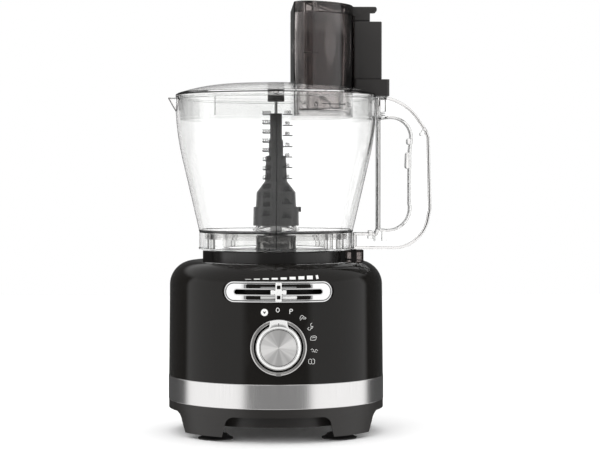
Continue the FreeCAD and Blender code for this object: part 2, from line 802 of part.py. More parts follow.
def build_lid():
    flange = sizes["lid_flange"]
    top = sizes["lid_top"]
    rim = sizes["rim_radius"]
    skirt = sizes["lid_skirt_radius"]
    bottom = sizes["tube_bottom"]
    dome = [(rim, flange), (rim, flange + 2.5), (rim - 2.5, flange + 4), Bend(190),
            (40, top), (8.5, top)]
    shell = turned("lid_shell", [(skirt, bottom), (skirt, flange)] + dome + [
        (8.5, top - 2.6), (40, top - 2.6), Bend(-190), (rim - 6, flange + 1.6),
        (skirt - 2.4, flange - 2), (skirt - 2.4, bottom),
    ])
    opening = upright("lid_opening", 300, 360, feed_outline(0))
    sub_part(cut("lid_body", shell, opening), "lid")
    bush = turned("bush", [
        (2, 328.7), (8.5, 328.7), (8.5, top), (9.5, top), (9.5, top + 1), (0, top + 1),
        (0, 336), (2, 336),
    ])
    sub_part(bush, "lid_bush")
    gasket = ring_outline(skirt - 2.7, skirt - 0.4, bottom - 3, bottom - 0.6)
    sub_part(turned("gasket", gasket), "lid_seat")
    tube = upright("tube", bottom, sizes["tube_top"], feed_outline(0),
                   feed_outline(sizes["feed_wall"]))
    sub_part(tube, "feed_tube")


def build_interlock_box():
    left = sizes["box_left"]
    right = sizes["box_right"]
    half = sizes["box_half_width"]
    low = sizes["box_bottom"]
    high = sizes["box_top"]
    case = upright("case", low, high, rounded_rectangle(left, right, -half, half, 3))
    inner = left + sizes["box_wall"]
    room = box("case_room", (inner, right - 2), (-(half - 2), half - 2), (low + 2, high - 2))
    mouth = box("case_mouth", (inner, 94.5), (-(half - 2), half - 2), (low + 2, high + 1))
    post_hole = cylinder("case_post_hole", 3.6, low - 5, low + 5, 88)
    sub_part(cut("case_body", case, room, mouth, post_hole), "interlock_box")

    block_low = sizes["block_bottom"]
    block_right = sizes["block_right"]
    lid_solid = turned("lid_solid", [
        (0, 320), (sizes["rim_radius"], 320), (sizes["rim_radius"], 335.5),
        (sizes["rim_radius"] - 2.5, 337), Bend(190), (40, sizes["lid_top"]),
        (0, sizes["lid_top"]),
    ])
    block = upright("block", block_low, low,
                    rounded_rectangle(left, block_right, -(half + 1), half + 1, 3))
    block_room = box("block_room", (83.5, block_right - 2.2), (-5, 5), (341.6, low - 2.2))
    well = cylinder("block_well", 5.6, block_low + 2.2, 346, sizes["rod_place"])
    foot_hole = cylinder("block_foot_hole", 3.6, block_low - 5, 340, sizes["rod_place"])
    top_hole = cylinder("block_post_hole", 3.6, 344, low + 5, 88)
    block = cut("block_body", block, lid_solid, block_room, well, foot_hole, top_hole)
    sub_part(block, "box_foot")
    plunger = fuse(
        "plunger",
        box("plunger_bar", (84.5, 109.7), (-3, 3), (344.2, 347)),
        cylinder("plunger_post", 3, 345, 352.2, 88),
        cylinder("plunger_foot", 3, 335.2, 345, sizes["rod_place"]))
    sub_part(plunger, "lid_plunger")
    spring = turned("upper_spring", ring_outline(3.5, 5, block_low + 2.4, 344),
                    x=sizes["rod_place"])
    sub_part(spring, "plunger_spring")


def build_pushers():
    gap = sizes["feed_wall"] + sizes["pusher_gap"]
    low = sizes["pusher_bottom"]
    top = sizes["pusher_top"]
    lip = sizes["tube_top"] + 0.4
    small = sizes["small_pusher_radius"]
    place_x = sizes["small_pusher_place"]
    cap = upright("pusher_cap", lip, top, feed_outline(0))
    plug = upright("pusher_plug", low, lip, feed_outline(gap))
    guide = cylinder("pusher_guide", small + 2.4, low, top + 1, place_x)
    cup = cut("pusher_cup", upright("pusher_cup_plan", low + 2, top + 1, feed_outline(gap + 2)),
              guide)
    bridge = box("pusher_bridge", (74, 93.5), (-9, 9), (lip, 423))
    thumb = box("pusher_thumb", (90, 100.3), (-9, 9), (417.5, 423))
    arm = box("pusher_arm", (81.5, 93.5), (-9, 9), (353.4, lip + 2))
    bore = cylinder("pusher_bore", small + 0.4, low - 1, top + 1, place_x)
    blank = fuse("pusher_blank", cap, plug, bridge, thumb, arm)
    sub_part(cut("pusher_body", blank, cup, bore), "pusher")
    dish = top - 9
    inner = small - 1.8
    plunger = turned("small_plunger", [
        (0, low + 2), (small, low + 2), (small, top - 1), (inner, top - 1), (inner, low + 4),
        (0, low + 4),
    ], x=place_x)
    sub_part(plunger, "small_pusher")
    outside = inner + 2
    edge = dish - (outside * outside - inner * inner).root()
    finger_dish = turned("finger_dish", [
        (0, dish - outside), Bend(outside), (inner, edge), (inner, dish), Bend(-inner),
        (0, dish - inner),
    ], x=place_x)
    sub_part(finger_dish, "small_pusher_cap")


build_feet()
build_chassis()
build_bottom_plate()
build_housing()
build_collar()
build_slider()
build_knob()
build_drive()
build_motor()
build_electrics()
build_bowl()
build_handle()
build_tool_spindle()
build_lid()
build_interlock_box()
build_pushers()

doc.recompute()
for item in doc.Objects:
    if "Invalid" in item.State or "Error" in item.State:
        raise RuntimeError(f"{item.Name} did not build: {item.State}")
for item in sub_parts:
    if item.Shape.isNull() or not item.Shape.isValid() or not item.Shape.Solids:
        raise RuntimeError(f"{item.Label} has no valid solid")

os.makedirs("parts", exist_ok=True)
for item in sub_parts:
    item.Shape.exportStep(f"parts/{item.Label}.step")
print(f"{len(sub_parts)} sub-parts written")
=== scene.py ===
"""The look of the food processor: materials, printed marks, clear bowl and lid, light and camera.

Lengths in the lists of this file are in millimetres and become metres in the mesh helpers.
+X is the handle side, -Y the front and +Z up, with the origin on the worktop under the drive axis.
"""
import json
import math

import bmesh
import bpy
from mathutils import Matrix, Vector


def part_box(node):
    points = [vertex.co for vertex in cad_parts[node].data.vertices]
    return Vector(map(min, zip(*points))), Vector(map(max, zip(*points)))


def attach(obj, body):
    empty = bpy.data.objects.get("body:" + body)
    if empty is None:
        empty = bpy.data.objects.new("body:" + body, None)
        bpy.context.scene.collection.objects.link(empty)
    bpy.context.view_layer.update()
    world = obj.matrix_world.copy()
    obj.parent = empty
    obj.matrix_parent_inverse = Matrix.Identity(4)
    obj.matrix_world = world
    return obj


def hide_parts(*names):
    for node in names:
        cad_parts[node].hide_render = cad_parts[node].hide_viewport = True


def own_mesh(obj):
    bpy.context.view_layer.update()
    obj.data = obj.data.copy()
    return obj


MM = 0.001
TURN = 2 * math.pi
ROUND_STEPS = 192
SMALL_ROUND_STEPS = 96

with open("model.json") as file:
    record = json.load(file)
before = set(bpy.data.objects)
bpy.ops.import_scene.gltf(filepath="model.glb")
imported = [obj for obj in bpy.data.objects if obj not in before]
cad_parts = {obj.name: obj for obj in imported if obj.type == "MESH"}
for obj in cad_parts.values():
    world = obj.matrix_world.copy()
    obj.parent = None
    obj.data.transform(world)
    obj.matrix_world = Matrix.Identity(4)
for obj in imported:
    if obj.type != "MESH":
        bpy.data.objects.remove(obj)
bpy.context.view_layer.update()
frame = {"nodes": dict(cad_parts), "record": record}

# Sizes shared with the model
BASE_RADIUS = 107.0
BAND_TOP = 56.7
KNOB_HEIGHT = 92.2
SLIDER_HEIGHT = 144.6
SHOULDER_HEIGHT = 148.0
SHOULDER_ROUND = 24
SHOULDER_MIDDLE = (82.05, 146.5)
SKIRT_RADIUS = 76.5
SKIRT_TOP = 198.5
WAIST_RADIUS = 94.4
WAIST_HEIGHT = 276
UNDER_RIM_RADIUS = 99.6
UNDER_RIM_HEIGHT = 313
WALL_BULGE = 0.72
LID_LEVEL = 341.0
LID_SKIRT_RADIUS = 96.2
TUBE_BOTTOM = 312.6
TUBE_TOP = 413.0
TUBE_WALL = 2.5
FEED_RADIUS = 77.0
FEED_CORNER = 14
FEED_CORNER_X = 30
FEED_CORNER_Y = 55.4
FEED_CORNER_TURN = 61.6
SMALL_PUSHER_X = 48

# How far printed marks stand off the surface
OFF_SURFACE = 0.03

# Where a noise texture's values mostly lie
NOISE_SPREAD = (0.3, 0.7)

SHARP_EDGE = math.radians(35)
SHARP_WIRE_EDGE = math.radians(60)

# Photographer's camera: 1.9 m in front, a little left and level with the middle of the bowl
CAMERA_PLACE = (-0.0414, -1.8985, 0.251)
CAMERA_TARGET = (0.024, 0, 0.2055)
CAMERA_LENS = 113.9


# Outlines and meshes


def rounded(points, radius):
    """A closed outline with its corners rounded; radius is one number or one for each corner."""
    steps = 6
    radii = radius if isinstance(radius, (list, tuple)) else [radius] * len(points)
    outline = []
    for index, corner in enumerate(points):
        corner = Vector(corner)
        back = Vector(points[index - 1]) - corner
        ahead = Vector(points[(index + 1) % len(points)]) - corner
        room = 0.48 * min(back.length, ahead.length)
        half = back.angle(ahead) / 2
        if radii[index] <= 0 or half > 1.55:
            outline.append(tuple(corner))
            continue
        reach = min(radii[index] / math.tan(half), room)
        start = corner + back.normalized() * reach
        end = corner + ahead.normalized() * reach
        for step in range(steps + 1):
            t = step / steps
            outline.append(tuple(start * (1 - t) ** 2 + corner * 2 * t * (1 - t) + end * t * t))
    return outline


def arc(start, end, bulge, steps=12):
    """Points of an arc after start up to end; bulge is its height, to the left when positive."""
    start, end = Vector(start), Vector(end)
    chord = end - start
    left = Vector((-chord.y, chord.x)).normalized()
    radius = (chord.length ** 2 / 4 + bulge ** 2) / (2 * bulge)
    centre = (start + end) / 2 + left * (bulge - radius)
    first = math.atan2(start.y - centre.y, start.x - centre.x)
    sweep = math.atan2(end.y - centre.y, end.x - centre.x) - first
    sweep = (sweep + math.pi) % TURN - math.pi
    return [
        (centre.x + abs(radius) * math.cos(first + sweep * step / steps),
         centre.y + abs(radius) * math.sin(first + sweep * step / steps))
        for step in range(1, steps + 1)
    ]


def circle_arc(centre, radius, first, last, steps=16):
    """Points on a circle between two angles in degrees."""
    return [
        (centre[0] + radius * math.cos(math.radians(first + (last - first) * step / steps)),
         centre[1] + radius * math.sin(math.radians(first + (last - first) * step / steps)))
        for step in range(steps + 1)
    ]


def stadium(half_length, half_height, x=0.0, y=0.0):
    """A long outline with round ends."""
    reach = half_length - half_height
    return (circle_arc((x + reach, y), half_height, -90, 90)
            + circle_arc((x - reach, y), half_height, 90, 270))


def bar_outline(left, right, bottom, top, radius):
    return rounded([(left, bottom), (right, bottom), (right, top), (left, top)], radius)


def area_of(outline):
    """The signed area: positive when the outline runs anticlockwise."""
    pairs = zip(outline, outline[1:] + outline[:1])
    return sum(a[0] * b[1] - b[0] * a[1] for a, b in pairs) / 2


def shrunk(outline, distance):
    """The outline moved to its left by a distance."""
    moved_points = []
    for index, point in enumerate(outline):
        point = Vector(point)
        before = point - Vector(outline[index - 1])
        after = Vector(outline[(index + 1) % len(outline)]) - point
        if before.length < 1e-6 or after.length < 1e-6:
            before = after = max(before, after, key=lambda edge: edge.length)
        first = Vector((-before.y, before.x)).normalized()
        second = Vector((-after.y, after.x)).normalized()
        lean = first + second
        if lean.length < 0.2:
            lean = first
        moved_points.append(tuple(point + lean * (distance / max(lean.dot(first), 0.5))))
    return moved_points


def finish_mesh(bm, name, sharp=SHARP_EDGE):
    bmesh.ops.remove_doubles(bm, verts=bm.verts, dist=1e-6)
    bmesh.ops.dissolve_degenerate(bm, edges=bm.edges, dist=1e-7)
    bmesh.ops.recalc_face_normals(bm, faces=bm.faces)
    mesh = bpy.data.meshes.new(name)
    bm.to_mesh(mesh)
    bm.free()
    mesh.shade_smooth()
    mesh.set_sharp_from_angle(angle=sharp)
    return mesh


def in_scene(name, data):
    """A new object in the scene."""
    item = bpy.data.objects.new(name, data)
    bpy.context.scene.collection.objects.link(item)
    return item


def evaluated(item):
    """A new mesh of an object as its modifiers leave it."""
    bpy.context.view_layer.update()
    return bpy.data.meshes.new_from_object(item.evaluated_get(
        bpy.context.evaluated_depsgraph_get()))


def piece(name, mesh, material, body, replaces=()):
    """Shows a mesh, or a list of meshes, as a piece of the object that rides on a body."""
    if isinstance(mesh, list):
        mesh = joined(name, mesh)
    item = in_scene(name, mesh)
    mesh.materials.clear()
    mesh.materials.append(MATERIALS[material])
    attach(item, body)
    if replaces:
        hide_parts(*replaces)
    return item


def lathe_mesh(name, profile, centre_x=0, fine=True, along_front=None):
    """Turns a closed (radius, height) profile about Z, or about the knob's axis to the front."""
    steps = ROUND_STEPS if fine else SMALL_ROUND_STEPS
    bm = bmesh.new()
    rings = []
    for radius, height in profile:
        ring = []
        for step in range(steps):
            angle = TURN * step / steps
            x, y = radius * math.cos(angle), radius * math.sin(angle)
            if along_front is None:
                point = (centre_x + x, y, height)
            else:
                point = (x, -height, along_front + y)
            ring.append(bm.verts.new(Vector(point) * MM))
        rings.append(ring)
    for index, ring in enumerate(rings):
        after = rings[(index + 1) % len(rings)]
        for step in range(steps):
            turn = (step + 1) % steps
            bm.faces.new((ring[step], ring[turn], after[turn], after[step]))
    return finish_mesh(bm, name)


def flat_mesh(name, outlines, thickness, bevel=0.0, bevel_steps=3):
    """A plate in the XY plane, centred on z = 0, its edges rounded; inner outlines are holes."""
    half = thickness / 2
    if bevel:
        turns = [math.pi / 2 * step / bevel_steps for step in range(bevel_steps + 1)]
        lower = [(bevel * (1 - math.sin(a)), bevel * (1 - math.cos(a)) - half) for a in turns]
    else:
        lower = [(0, -half)]
    layers = lower + [(inset, -height) for inset, height in reversed(lower)]
    bm = bmesh.new()
    caps = {0: [], len(layers) - 1: []}
    for index, outline in enumerate(outlines):
        outline = list(outline)
        if (area_of(outline) > 0) != (index == 0):
            outline.reverse()
        rings = []
        for inset, height in layers:
            points = shrunk(outline, inset) if inset else outline
            rings.append([bm.verts.new(Vector((x, y, height)) * MM) for x, y in points])
        for below, above in zip(rings, rings[1:]):
            for step in range(len(outline)):
                turn = (step + 1) % len(outline)
                bm.faces.new((below[step], below[turn], above[turn], above[step]))
        for level in caps:
            ring = rings[level]
            caps[level] += [bm.edges.get((ring[step - 1], ring[step]))
                            for step in range(len(ring))]
    for level, edges in caps.items():
        bmesh.ops.triangle_fill(bm, edges=edges, use_beauty=True,
                                normal=(0, 0, -1 if level == 0 else 1))
    return finish_mesh(bm, name)


def bar_mesh(name, across, up, radius, thickness, bevel=0.0):
    """A plate with rounded corners, from its low and high x and y."""
    return flat_mesh(name, [bar_outline(*across, *up, radius)], thickness, bevel)


def meshed_curve(name, curve, sharp=SHARP_EDGE):
    """The mesh of a curve or text, with the curve itself removed."""
    item = in_scene(name + "_source", curve)
    mesh = evaluated(item)
    bpy.data.objects.remove(item)
    bm = bmesh.new()
    bm.from_mesh(mesh)
    bpy.data.meshes.remove(mesh)
    return finish_mesh(bm, name, sharp)


def text_mesh(name, words, height):
    """Small printed characters, centred on the origin, height millimetres tall."""
    size_of_capitals = 1.4
    thickness = 0.1
    weight = 0.13
    text = bpy.data.curves.new(name + "_text", "FONT")
    text.body = words
    text.size = height * size_of_capitals * MM
    text.align_x = "CENTER"
    text.align_y = "CENTER"
    text.extrude = thickness / 2 * MM
    text.offset = weight * MM
    text.resolution_u = 2
    return meshed_curve(name, text)


def wire_mesh(name, lines, width, flatten=1.0, smooth=False):
    """Round wires along lines of points; flatten below 1 presses them into printed strokes."""
    curve = bpy.data.curves.new(name + "_curve", "CURVE")
    curve.dimensions = "3D"
    curve.bevel_depth = width / 2 * MM
    curve.bevel_resolution = 4
    curve.use_fill_caps = True
    for line in lines:
        spline = curve.splines.new("NURBS" if smooth else "POLY")
        spline.points.add(len(line) - 1)
        for point, place in zip(spline.points, line):
            x, y, z = (*place, 0.0)[:3]
            point.co = (x * MM, y * MM, z * MM, 1)
        if smooth:
            spline.order_u = 3
            spline.use_endpoint_u = True
            spline.resolution_u = 6
    mesh = meshed_curve(name, curve, SHARP_WIRE_EDGE)
    if flatten < 1:
        mesh.transform(Matrix.Diagonal((1, 1, flatten, 1)))
    return mesh


def to_front(mesh, height=0, front=0):
    """Stands a flat mesh up facing the front: its Y becomes height and its Z goes outwards."""
    mesh.transform(Matrix.Translation(Vector((0, -front, height)) * MM)
                   @ Matrix.Rotation(math.pi / 2, 4, "X"))
    return mesh


def moved(mesh, x=0.0, y=0.0, z=0.0, turn=0.0):
    """Turns a mesh in the XY plane by degrees, then shifts it."""
    mesh.transform(Matrix.Translation(Vector((x, y, z)) * MM)
                   @ Matrix.Rotation(math.radians(turn), 4, "Z"))
    return mesh


def upright(name, outlines, low, high, bevel=0.0):
    """A plate with the given outlines that stands from low to high."""
    return moved(flat_mesh(name, outlines, high - low, bevel), z=(low + high) / 2)


def joined(name, meshes):
    """One mesh made of several, which are removed."""
    bm = bmesh.new()
    for mesh in meshes:
        bm.from_mesh(mesh)
        bpy.data.meshes.remove(mesh)
    mesh = bpy.data.meshes.new(name)
    bm.to_mesh(mesh)
    bm.free()
    return mesh


def drilled(mesh, radius, x, low, high):
    """Cuts an upright round hole at x through a mesh."""
    circle = circle_arc((x, 0), radius, 0, 352.5, 47)
    drill = in_scene("drill", upright("drill", [circle], low, high))
    block = in_scene("block", mesh)
    cut = block.modifiers.new("hole", "BOOLEAN")
    cut.operation = "DIFFERENCE"
    cut.solver = "EXACT"
    cut.object = drill
    result = evaluated(block)
    for item in (drill, block):
        bpy.data.objects.remove(item)
    return result


def sliced(mesh, step):
    """Cuts a flat mesh into strips along X, so that it can be bent round a cylinder."""
    bm = bmesh.new()
    bm.from_mesh(mesh)
    low = min(vertex.co.x for vertex in bm.verts)
    high = max(vertex.co.x for vertex in bm.verts)
    place = low + step * MM
    while place < high:
        bmesh.ops.bisect_plane(bm, geom=bm.verts[:] + bm.edges[:] + bm.faces[:],
                               plane_co=(place, 0, 0), plane_no=(1, 0, 0), dist=1e-7)
        place += step * MM
    bm.to_mesh(mesh)
    bm.free()
    return mesh


def wrapped(mesh, radius_at, step=2.0):
    """Bends a flat mesh round the drive axis: X runs round, Y becomes height, Z goes outwards."""
    sliced(mesh, step)
    for vertex in mesh.vertices:
        across, up, out = vertex.co / MM
        radius = radius_at(up)
        angle = across / radius
        vertex.co = Vector(((radius + out) * math.sin(angle), -(radius + out) * math.cos(angle),
                            up)) * MM
    mesh.update()
    return mesh


# Materials


def new_material(name, color, **inputs):
    """A principled material; the inputs are its shader's sockets, with _ for a space."""
    material = bpy.data.materials.new(name)
    material.use_nodes = True
    shader = material.node_tree.nodes["Principled BSDF"]
    shader.inputs["Base Color"].default_value = (*color, 1)
    for socket, value in inputs.items():
        shader.inputs[socket.replace("_", " ")].default_value = value
    return material


def give(tree, sockets, values):
    """Feeds a node's sockets; each value is a number or another node's output."""
    for socket, value in zip(sockets, values):
        if isinstance(value, (int, float)):
            socket.default_value = value
        else:
            tree.links.new(value, socket)


def math_node(tree, operation, *values):
    """The result of a Math node."""
    node = tree.nodes.new("ShaderNodeMath")
    node.operation = operation
    give(tree, node.inputs, values)
    return node.outputs["Value"]


def map_range(tree, value, start, end, low, high, interpolation="LINEAR"):
    """A value that goes from low to high while the one given goes from start to end."""
    node = tree.nodes.new("ShaderNodeMapRange")
    node.interpolation_type = interpolation
    node.inputs["From Min"].default_value = start
    node.inputs["From Max"].default_value = end
    node.inputs["To Min"].default_value = low
    node.inputs["To Max"].default_value = high
    tree.links.new(value, node.inputs["Value"])
    return node.outputs["Result"]


def add_noise(material, scale, stretch=(1, 1, 1), detail=3.0, coordinates=None):
    """A noise texture in object coordinates, stretched by the given factors."""
    nodes, links = material.node_tree.nodes, material.node_tree.links
    if coordinates is None:
        coordinates = nodes.new("ShaderNodeTexCoord").outputs["Object"]
    mapping = nodes.new("ShaderNodeMapping")
    mapping.inputs["Scale"].default_value = stretch
    noise = nodes.new("ShaderNodeTexNoise")
    noise.inputs["Scale"].default_value = scale
    noise.inputs["Detail"].default_value = detail
    links.new(coordinates, mapping.inputs["Vector"])
    links.new(mapping.outputs["Vector"], noise.inputs["Vector"])
    return noise.outputs["Fac"]


def vary(material, fac, socket, low, high):
    """Drives a number of the shader between low and high."""
    tree = material.node_tree
    spread = map_range(tree, fac, *NOISE_SPREAD, low, high)
    tree.links.new(spread, tree.nodes["Principled BSDF"].inputs[socket])


def tint(material, fac, low, high):
    """Varies the base colour between two colours."""
    tree = material.node_tree
    ramp = tree.nodes.new("ShaderNodeValToRGB")
    for stop, place, color in zip(ramp.color_ramp.elements, NOISE_SPREAD, (low, high)):
        stop.position = place
        stop.color = (*color, 1)
    tree.links.new(fac, ramp.inputs["Fac"])
    tree.links.new(ramp.outputs["Color"], tree.nodes["Principled BSDF"].inputs["Base Color"])


def bump(material, fac, strength, distance):
    """Raises fine relief; distance is in millimetres."""
    tree = material.node_tree
    node = tree.nodes.new("ShaderNodeBump")
    node.inputs["Strength"].default_value = strength
    node.inputs["Distance"].default_value = distance * MM
    tree.links.new(fac, node.inputs["Height"])
    tree.links.new(node.outputs["Normal"], tree.nodes["Principled BSDF"].inputs["Normal"])


def polar(material, axis_height=None):
    """Cylinder coordinates (angle, radius, height) about Z, or about the knob's axis."""
    tree = material.node_tree
    nodes, links = tree.nodes, tree.links
    split = nodes.new("ShaderNodeSeparateXYZ")
    links.new(nodes.new("ShaderNodeTexCoord").outputs["Object"], split.inputs["Vector"])
    first, second, third = split.outputs
    if axis_height is not None:
        second, third = math_node(tree, "SUBTRACT", third, axis_height * MM), second
    angle = math_node(tree, "ARCTAN2", first, second)
    flat = nodes.new("ShaderNodeCombineXYZ")
    links.new(first, flat.inputs["X"])
    links.new(second, flat.inputs["Y"])
    length = nodes.new("ShaderNodeVectorMath")
    length.operation = "LENGTH"
    links.new(flat.outputs["Vector"], length.inputs[0])
    join = nodes.new("ShaderNodeCombineXYZ")
    for value, socket in zip((angle, length.outputs["Value"], third), join.inputs):
        links.new(value, socket)
    return join.outputs["Vector"]


def gloss(name, color):
    material = new_material(name, color, Roughness=0.06, IOR=1.31)
    smudges = add_noise(material, 18, detail=4)
    vary(material, smudges, "Roughness", 0.05, 0.085)
    bump(material, add_noise(material, 260, detail=1), 0.04, 0.02)
    return material


def grained(name, color, roughness, grain=900, depth=0.05):
    """Moulded plastic or rubber with a fine spark-eroded grain."""
    material = new_material(name, color, Roughness=roughness, IOR=1.48)
    clouds = add_noise(material, 14, detail=5)
    tint(material, clouds, tuple(c * 0.9 for c in color), tuple(c * 1.1 for c in color))
    vary(material, clouds, "Roughness", roughness - 0.05, roughness + 0.06)
    bump(material, add_noise(material, grain, detail=2), 0.25, depth)
    return material


def brushed_upright(name, color, roughness):
    """Steel brushed upwards: streaks that are fine round the drive axis and long upwards."""
    material = new_material(name, color, Metallic=1.0, Roughness=roughness)
    fine_round, long_upwards = 230.0, 26.0
    streaks = add_noise(material, 1.0, (fine_round, 0.0, long_upwards), 3, polar(material))
    tint(material, streaks, tuple(c * 0.9 for c in color), color)
    vary(material, streaks, "Roughness", roughness * 0.8, roughness * 1.3)
    bump(material, streaks, 0.12, 0.02)
    return material


def spun_face(name, color):
    """Spun steel: rings about the knob's axis, with a painted highlight in its colour: soft rays
    from the middle and two bright and two dark wedges.
    """
    material = new_material(name, color, Metallic=0.7, Roughness=0.55, Anisotropic=0.95,
                            Anisotropic_Rotation=0.25)
    tree = material.node_tree
    tangent = tree.nodes.new("ShaderNodeTangent")
    tangent.direction_type = "RADIAL"
    tangent.axis = "Y"
    tree.links.new(tangent.outputs["Tangent"], tree.nodes["Principled BSDF"].inputs["Tangent"])
    where = polar(material, KNOB_HEIGHT)
    rings = add_noise(material, 1.0, (0.6, 7000.0, 0.0), 2, where)
    # Painted highlight: soft rays and two bright and two dark wedges round the axis are painted
    # into the colour
    painted_rays = add_noise(material, 1.0, (1.3, 0.0, 0.0), 2, where)
    split = tree.nodes.new("ShaderNodeSeparateXYZ")
    tree.links.new(where, split.inputs["Vector"])
    painted_wedges = math_node(tree, "COSINE", math_node(tree, "MULTIPLY", split.outputs["X"], 2))
    wedge_share = -0.16
    painted_highlight = math_node(tree, "MULTIPLY_ADD", painted_wedges, wedge_share, painted_rays)
    tint(material, painted_highlight, tuple(c * 0.5 for c in color), color)
    vary(material, rings, "Roughness", 0.56, 0.64)
    bump(material, rings, 0.05, 0.01)
    return material


def chrome(name, color=(0.88, 0.88, 0.88), roughness=0.05, metallic=1.0):
    material = new_material(name, color, Metallic=metallic, Roughness=roughness)
    vary(material, add_noise(material, 40, detail=3), "Roughness", roughness, roughness + 0.04)
    return material


def see_through(name, color, wall, wall_share, roughness=0.0, ior=1.46):
    """Clear or smoked plastic: a tint at its surfaces, and darker the deeper one looks into it.

    wall_share is how much light the depth of one wall, in millimetres, lets through.
    """
    material = new_material(name, color, Roughness=roughness, IOR=ior, Transmission_Weight=1.0)
    nodes, links = material.node_tree.nodes, material.node_tree.links
    vary(material, add_noise(material, 30, detail=3), "Roughness", roughness, roughness + 0.01)
    depth = nodes.new("ShaderNodeVolumeAbsorption")
    depth.inputs["Color"].default_value = (0.5, 0.47, 0.46, 1)
    depth.inputs["Density"].default_value = -2 * math.log(wall_share) / (wall * MM)
    links.new(depth.outputs["Volume"], nodes["Material Output"].inputs["Volume"])
    return material


def printed(name, color, roughness=0.5):
    material = new_material(name, color, Roughness=roughness)
    vary(material, add_noise(material, 400, detail=2), "Roughness", roughness, roughness + 0.1)
    return material


# Each material's maker, and what the maker takes after the name
FINISHES = {
    "gloss_black": (gloss, (0.0078, 0.007, 0.0062)),
    "matte_black": (grained, (0.015, 0.0132, 0.012), 0.4),
    "foot_rubber": (grained, (0.012, 0.011, 0.011), 0.72, 600),
    "band_steel": (brushed_upright, (0.8, 0.79, 0.785), 0.2),
    "control_chrome": (chrome,),
    "knob_face": (spun_face, (1.0, 0.99, 0.98)),
    "clear_plastic": (see_through, (0.99, 0.995, 0.993), 2.8, 0.95),
    "smoked_plastic": (see_through, (0.8, 0.775, 0.77), 2.5, 0.8, 0.01),
    "dark_smoke": (see_through, (0.6, 0.575, 0.57), 2.5, 0.62, 0.01),
    # Grey smoke for the spout's outlines: painted shade
    "edge_smoke": (see_through, (0.42, 0.42, 0.42), 1.0, 0.8, 0.0, 1.2),
    "light_smoke": (see_through, (0.94, 0.93, 0.928), 2.5, 0.975, 0.01, 1.36),
    "dark_plastic": (grained, (0.026, 0.024, 0.023), 0.4, 700, 0.03),
    "spindle_plastic": (grained, (0.011, 0.0097, 0.0093), 0.3, 900, 0.03),
    "collar_black": (grained, (0.016, 0.0145, 0.0135), 0.24, 900, 0.02),
    "drive_steel": (chrome, (0.6, 0.6, 0.6), 0.25),
    "motor_steel": (grained, (0.14, 0.14, 0.15), 0.45),
    "motor_copper": (chrome, (0.72, 0.34, 0.16), 0.3),
    "fan_plastic": (grained, (0.6, 0.6, 0.56), 0.5),
    "belt_rubber": (grained, (0.01, 0.01, 0.01), 0.8),
    "board_green": (grained, (0.02, 0.12, 0.05), 0.4),
    "seal_rubber": (grained, (0.55, 0.55, 0.54), 0.6),
    "zinc_screw": (chrome, (0.6, 0.6, 0.58), 0.22),
    "white_print": (printed, (0.82, 0.82, 0.8)),
    "black_print": (printed, (0.006, 0.006, 0.006)),
    "grey_print": (printed, (0.03, 0.03, 0.03)),
    # Grey for painted shade: a small notch in the knob's pointer and the floor's edge in the clear
    # bowl
    "edge_grey": (printed, (0.12, 0.12, 0.12), 0.3),
    "smoked_chrome": (chrome, (0.62, 0.61, 0.6), 0.06),
    "soft_steel": (chrome, (0.8, 0.8, 0.79), 0.4),
    # Also gives the right slider wing its lighter look: painted light
    "bright_steel": (chrome, (1.0, 1.0, 0.99), 0.5, 0.5),
    "sleeve_steel": (chrome, (0.3, 0.295, 0.29), 0.12),
    "ring_steel": (chrome, (1.0, 1.0, 0.99), 0.16),
}
MATERIALS = {name: make(name, *given) for name, (make, *given) in FINISHES.items()}


# Nodes whose finish is finer than the slot they share with others
OTHER_FINISH = {
    "bowl_collar": "collar_black",
    "interlock_tower": "dark_smoke",
    "box_foot": "dark_plastic",
    "lid_seat": "clear_plastic",
    "interlock_rod": "clear_plastic",
    "tool_spindle": "spindle_plastic",
}


def paint_frame():
    """Gives every carried-over CAD piece the material of its slot."""
    slots = {entry["node"]: entry["material_slot"] for entry in frame["record"]["subparts"]}
    for node, item in frame["nodes"].items():
        item.data.materials.clear()
        item.data.materials.append(MATERIALS[OTHER_FINISH.get(node, slots[node])])


# Surfaces of the object, as radius about the drive axis at a height


def housing_radius(height):
    """The outside of the base housing: a slight taper, then a round shoulder."""
    if height <= SHOULDER_HEIGHT:
        return BASE_RADIUS - (height - BAND_TOP) / (SHOULDER_HEIGHT - BAND_TOP)
    radius, middle = SHOULDER_MIDDLE
    return radius + math.sqrt(SHOULDER_ROUND ** 2 - (height - middle) ** 2)


def bowl_radius(height):
    """The outside of the bowl between its skirt and its rim."""
    if height < SKIRT_TOP:
        return SKIRT_RADIUS
    if height < WAIST_HEIGHT:
        share = (height - SKIRT_TOP) / (WAIST_HEIGHT - SKIRT_TOP)
        return SKIRT_RADIUS + share * (WAIST_RADIUS - SKIRT_RADIUS)
    share = min((height - WAIST_HEIGHT) / (UNDER_RIM_HEIGHT - WAIST_HEIGHT), 1)
    bulge = WALL_BULGE * (1 - (2 * share - 1) ** 2)
    return WAIST_RADIUS + share * (UNDER_RIM_RADIUS - WAIST_RADIUS) + bulge


def feed_outline(inset):
    """The D of the feed tube, a distance inside its wall."""
    turn = FEED_CORNER_TURN
    corner = FEED_CORNER - inset
    return (circle_arc((0, 0), FEED_RADIUS - inset, -turn, turn, 120)
            + circle_arc((FEED_CORNER_X, FEED_CORNER_Y), corner, turn, 180)
            + circle_arc((FEED_CORNER_X, -FEED_CORNER_Y), corner, 180, 360 - turn))


def feed_front(x, inset):
    """How far forward the feed tube's wall is at x."""
    corner_end = 36.6
    if x < corner_end:
        return FEED_CORNER_Y + math.sqrt((FEED_CORNER - inset) ** 2 - (x - FEED_CORNER_X) ** 2)
    return math.sqrt((FEED_RADIUS - inset) ** 2 - x ** 2)


# The front of the base


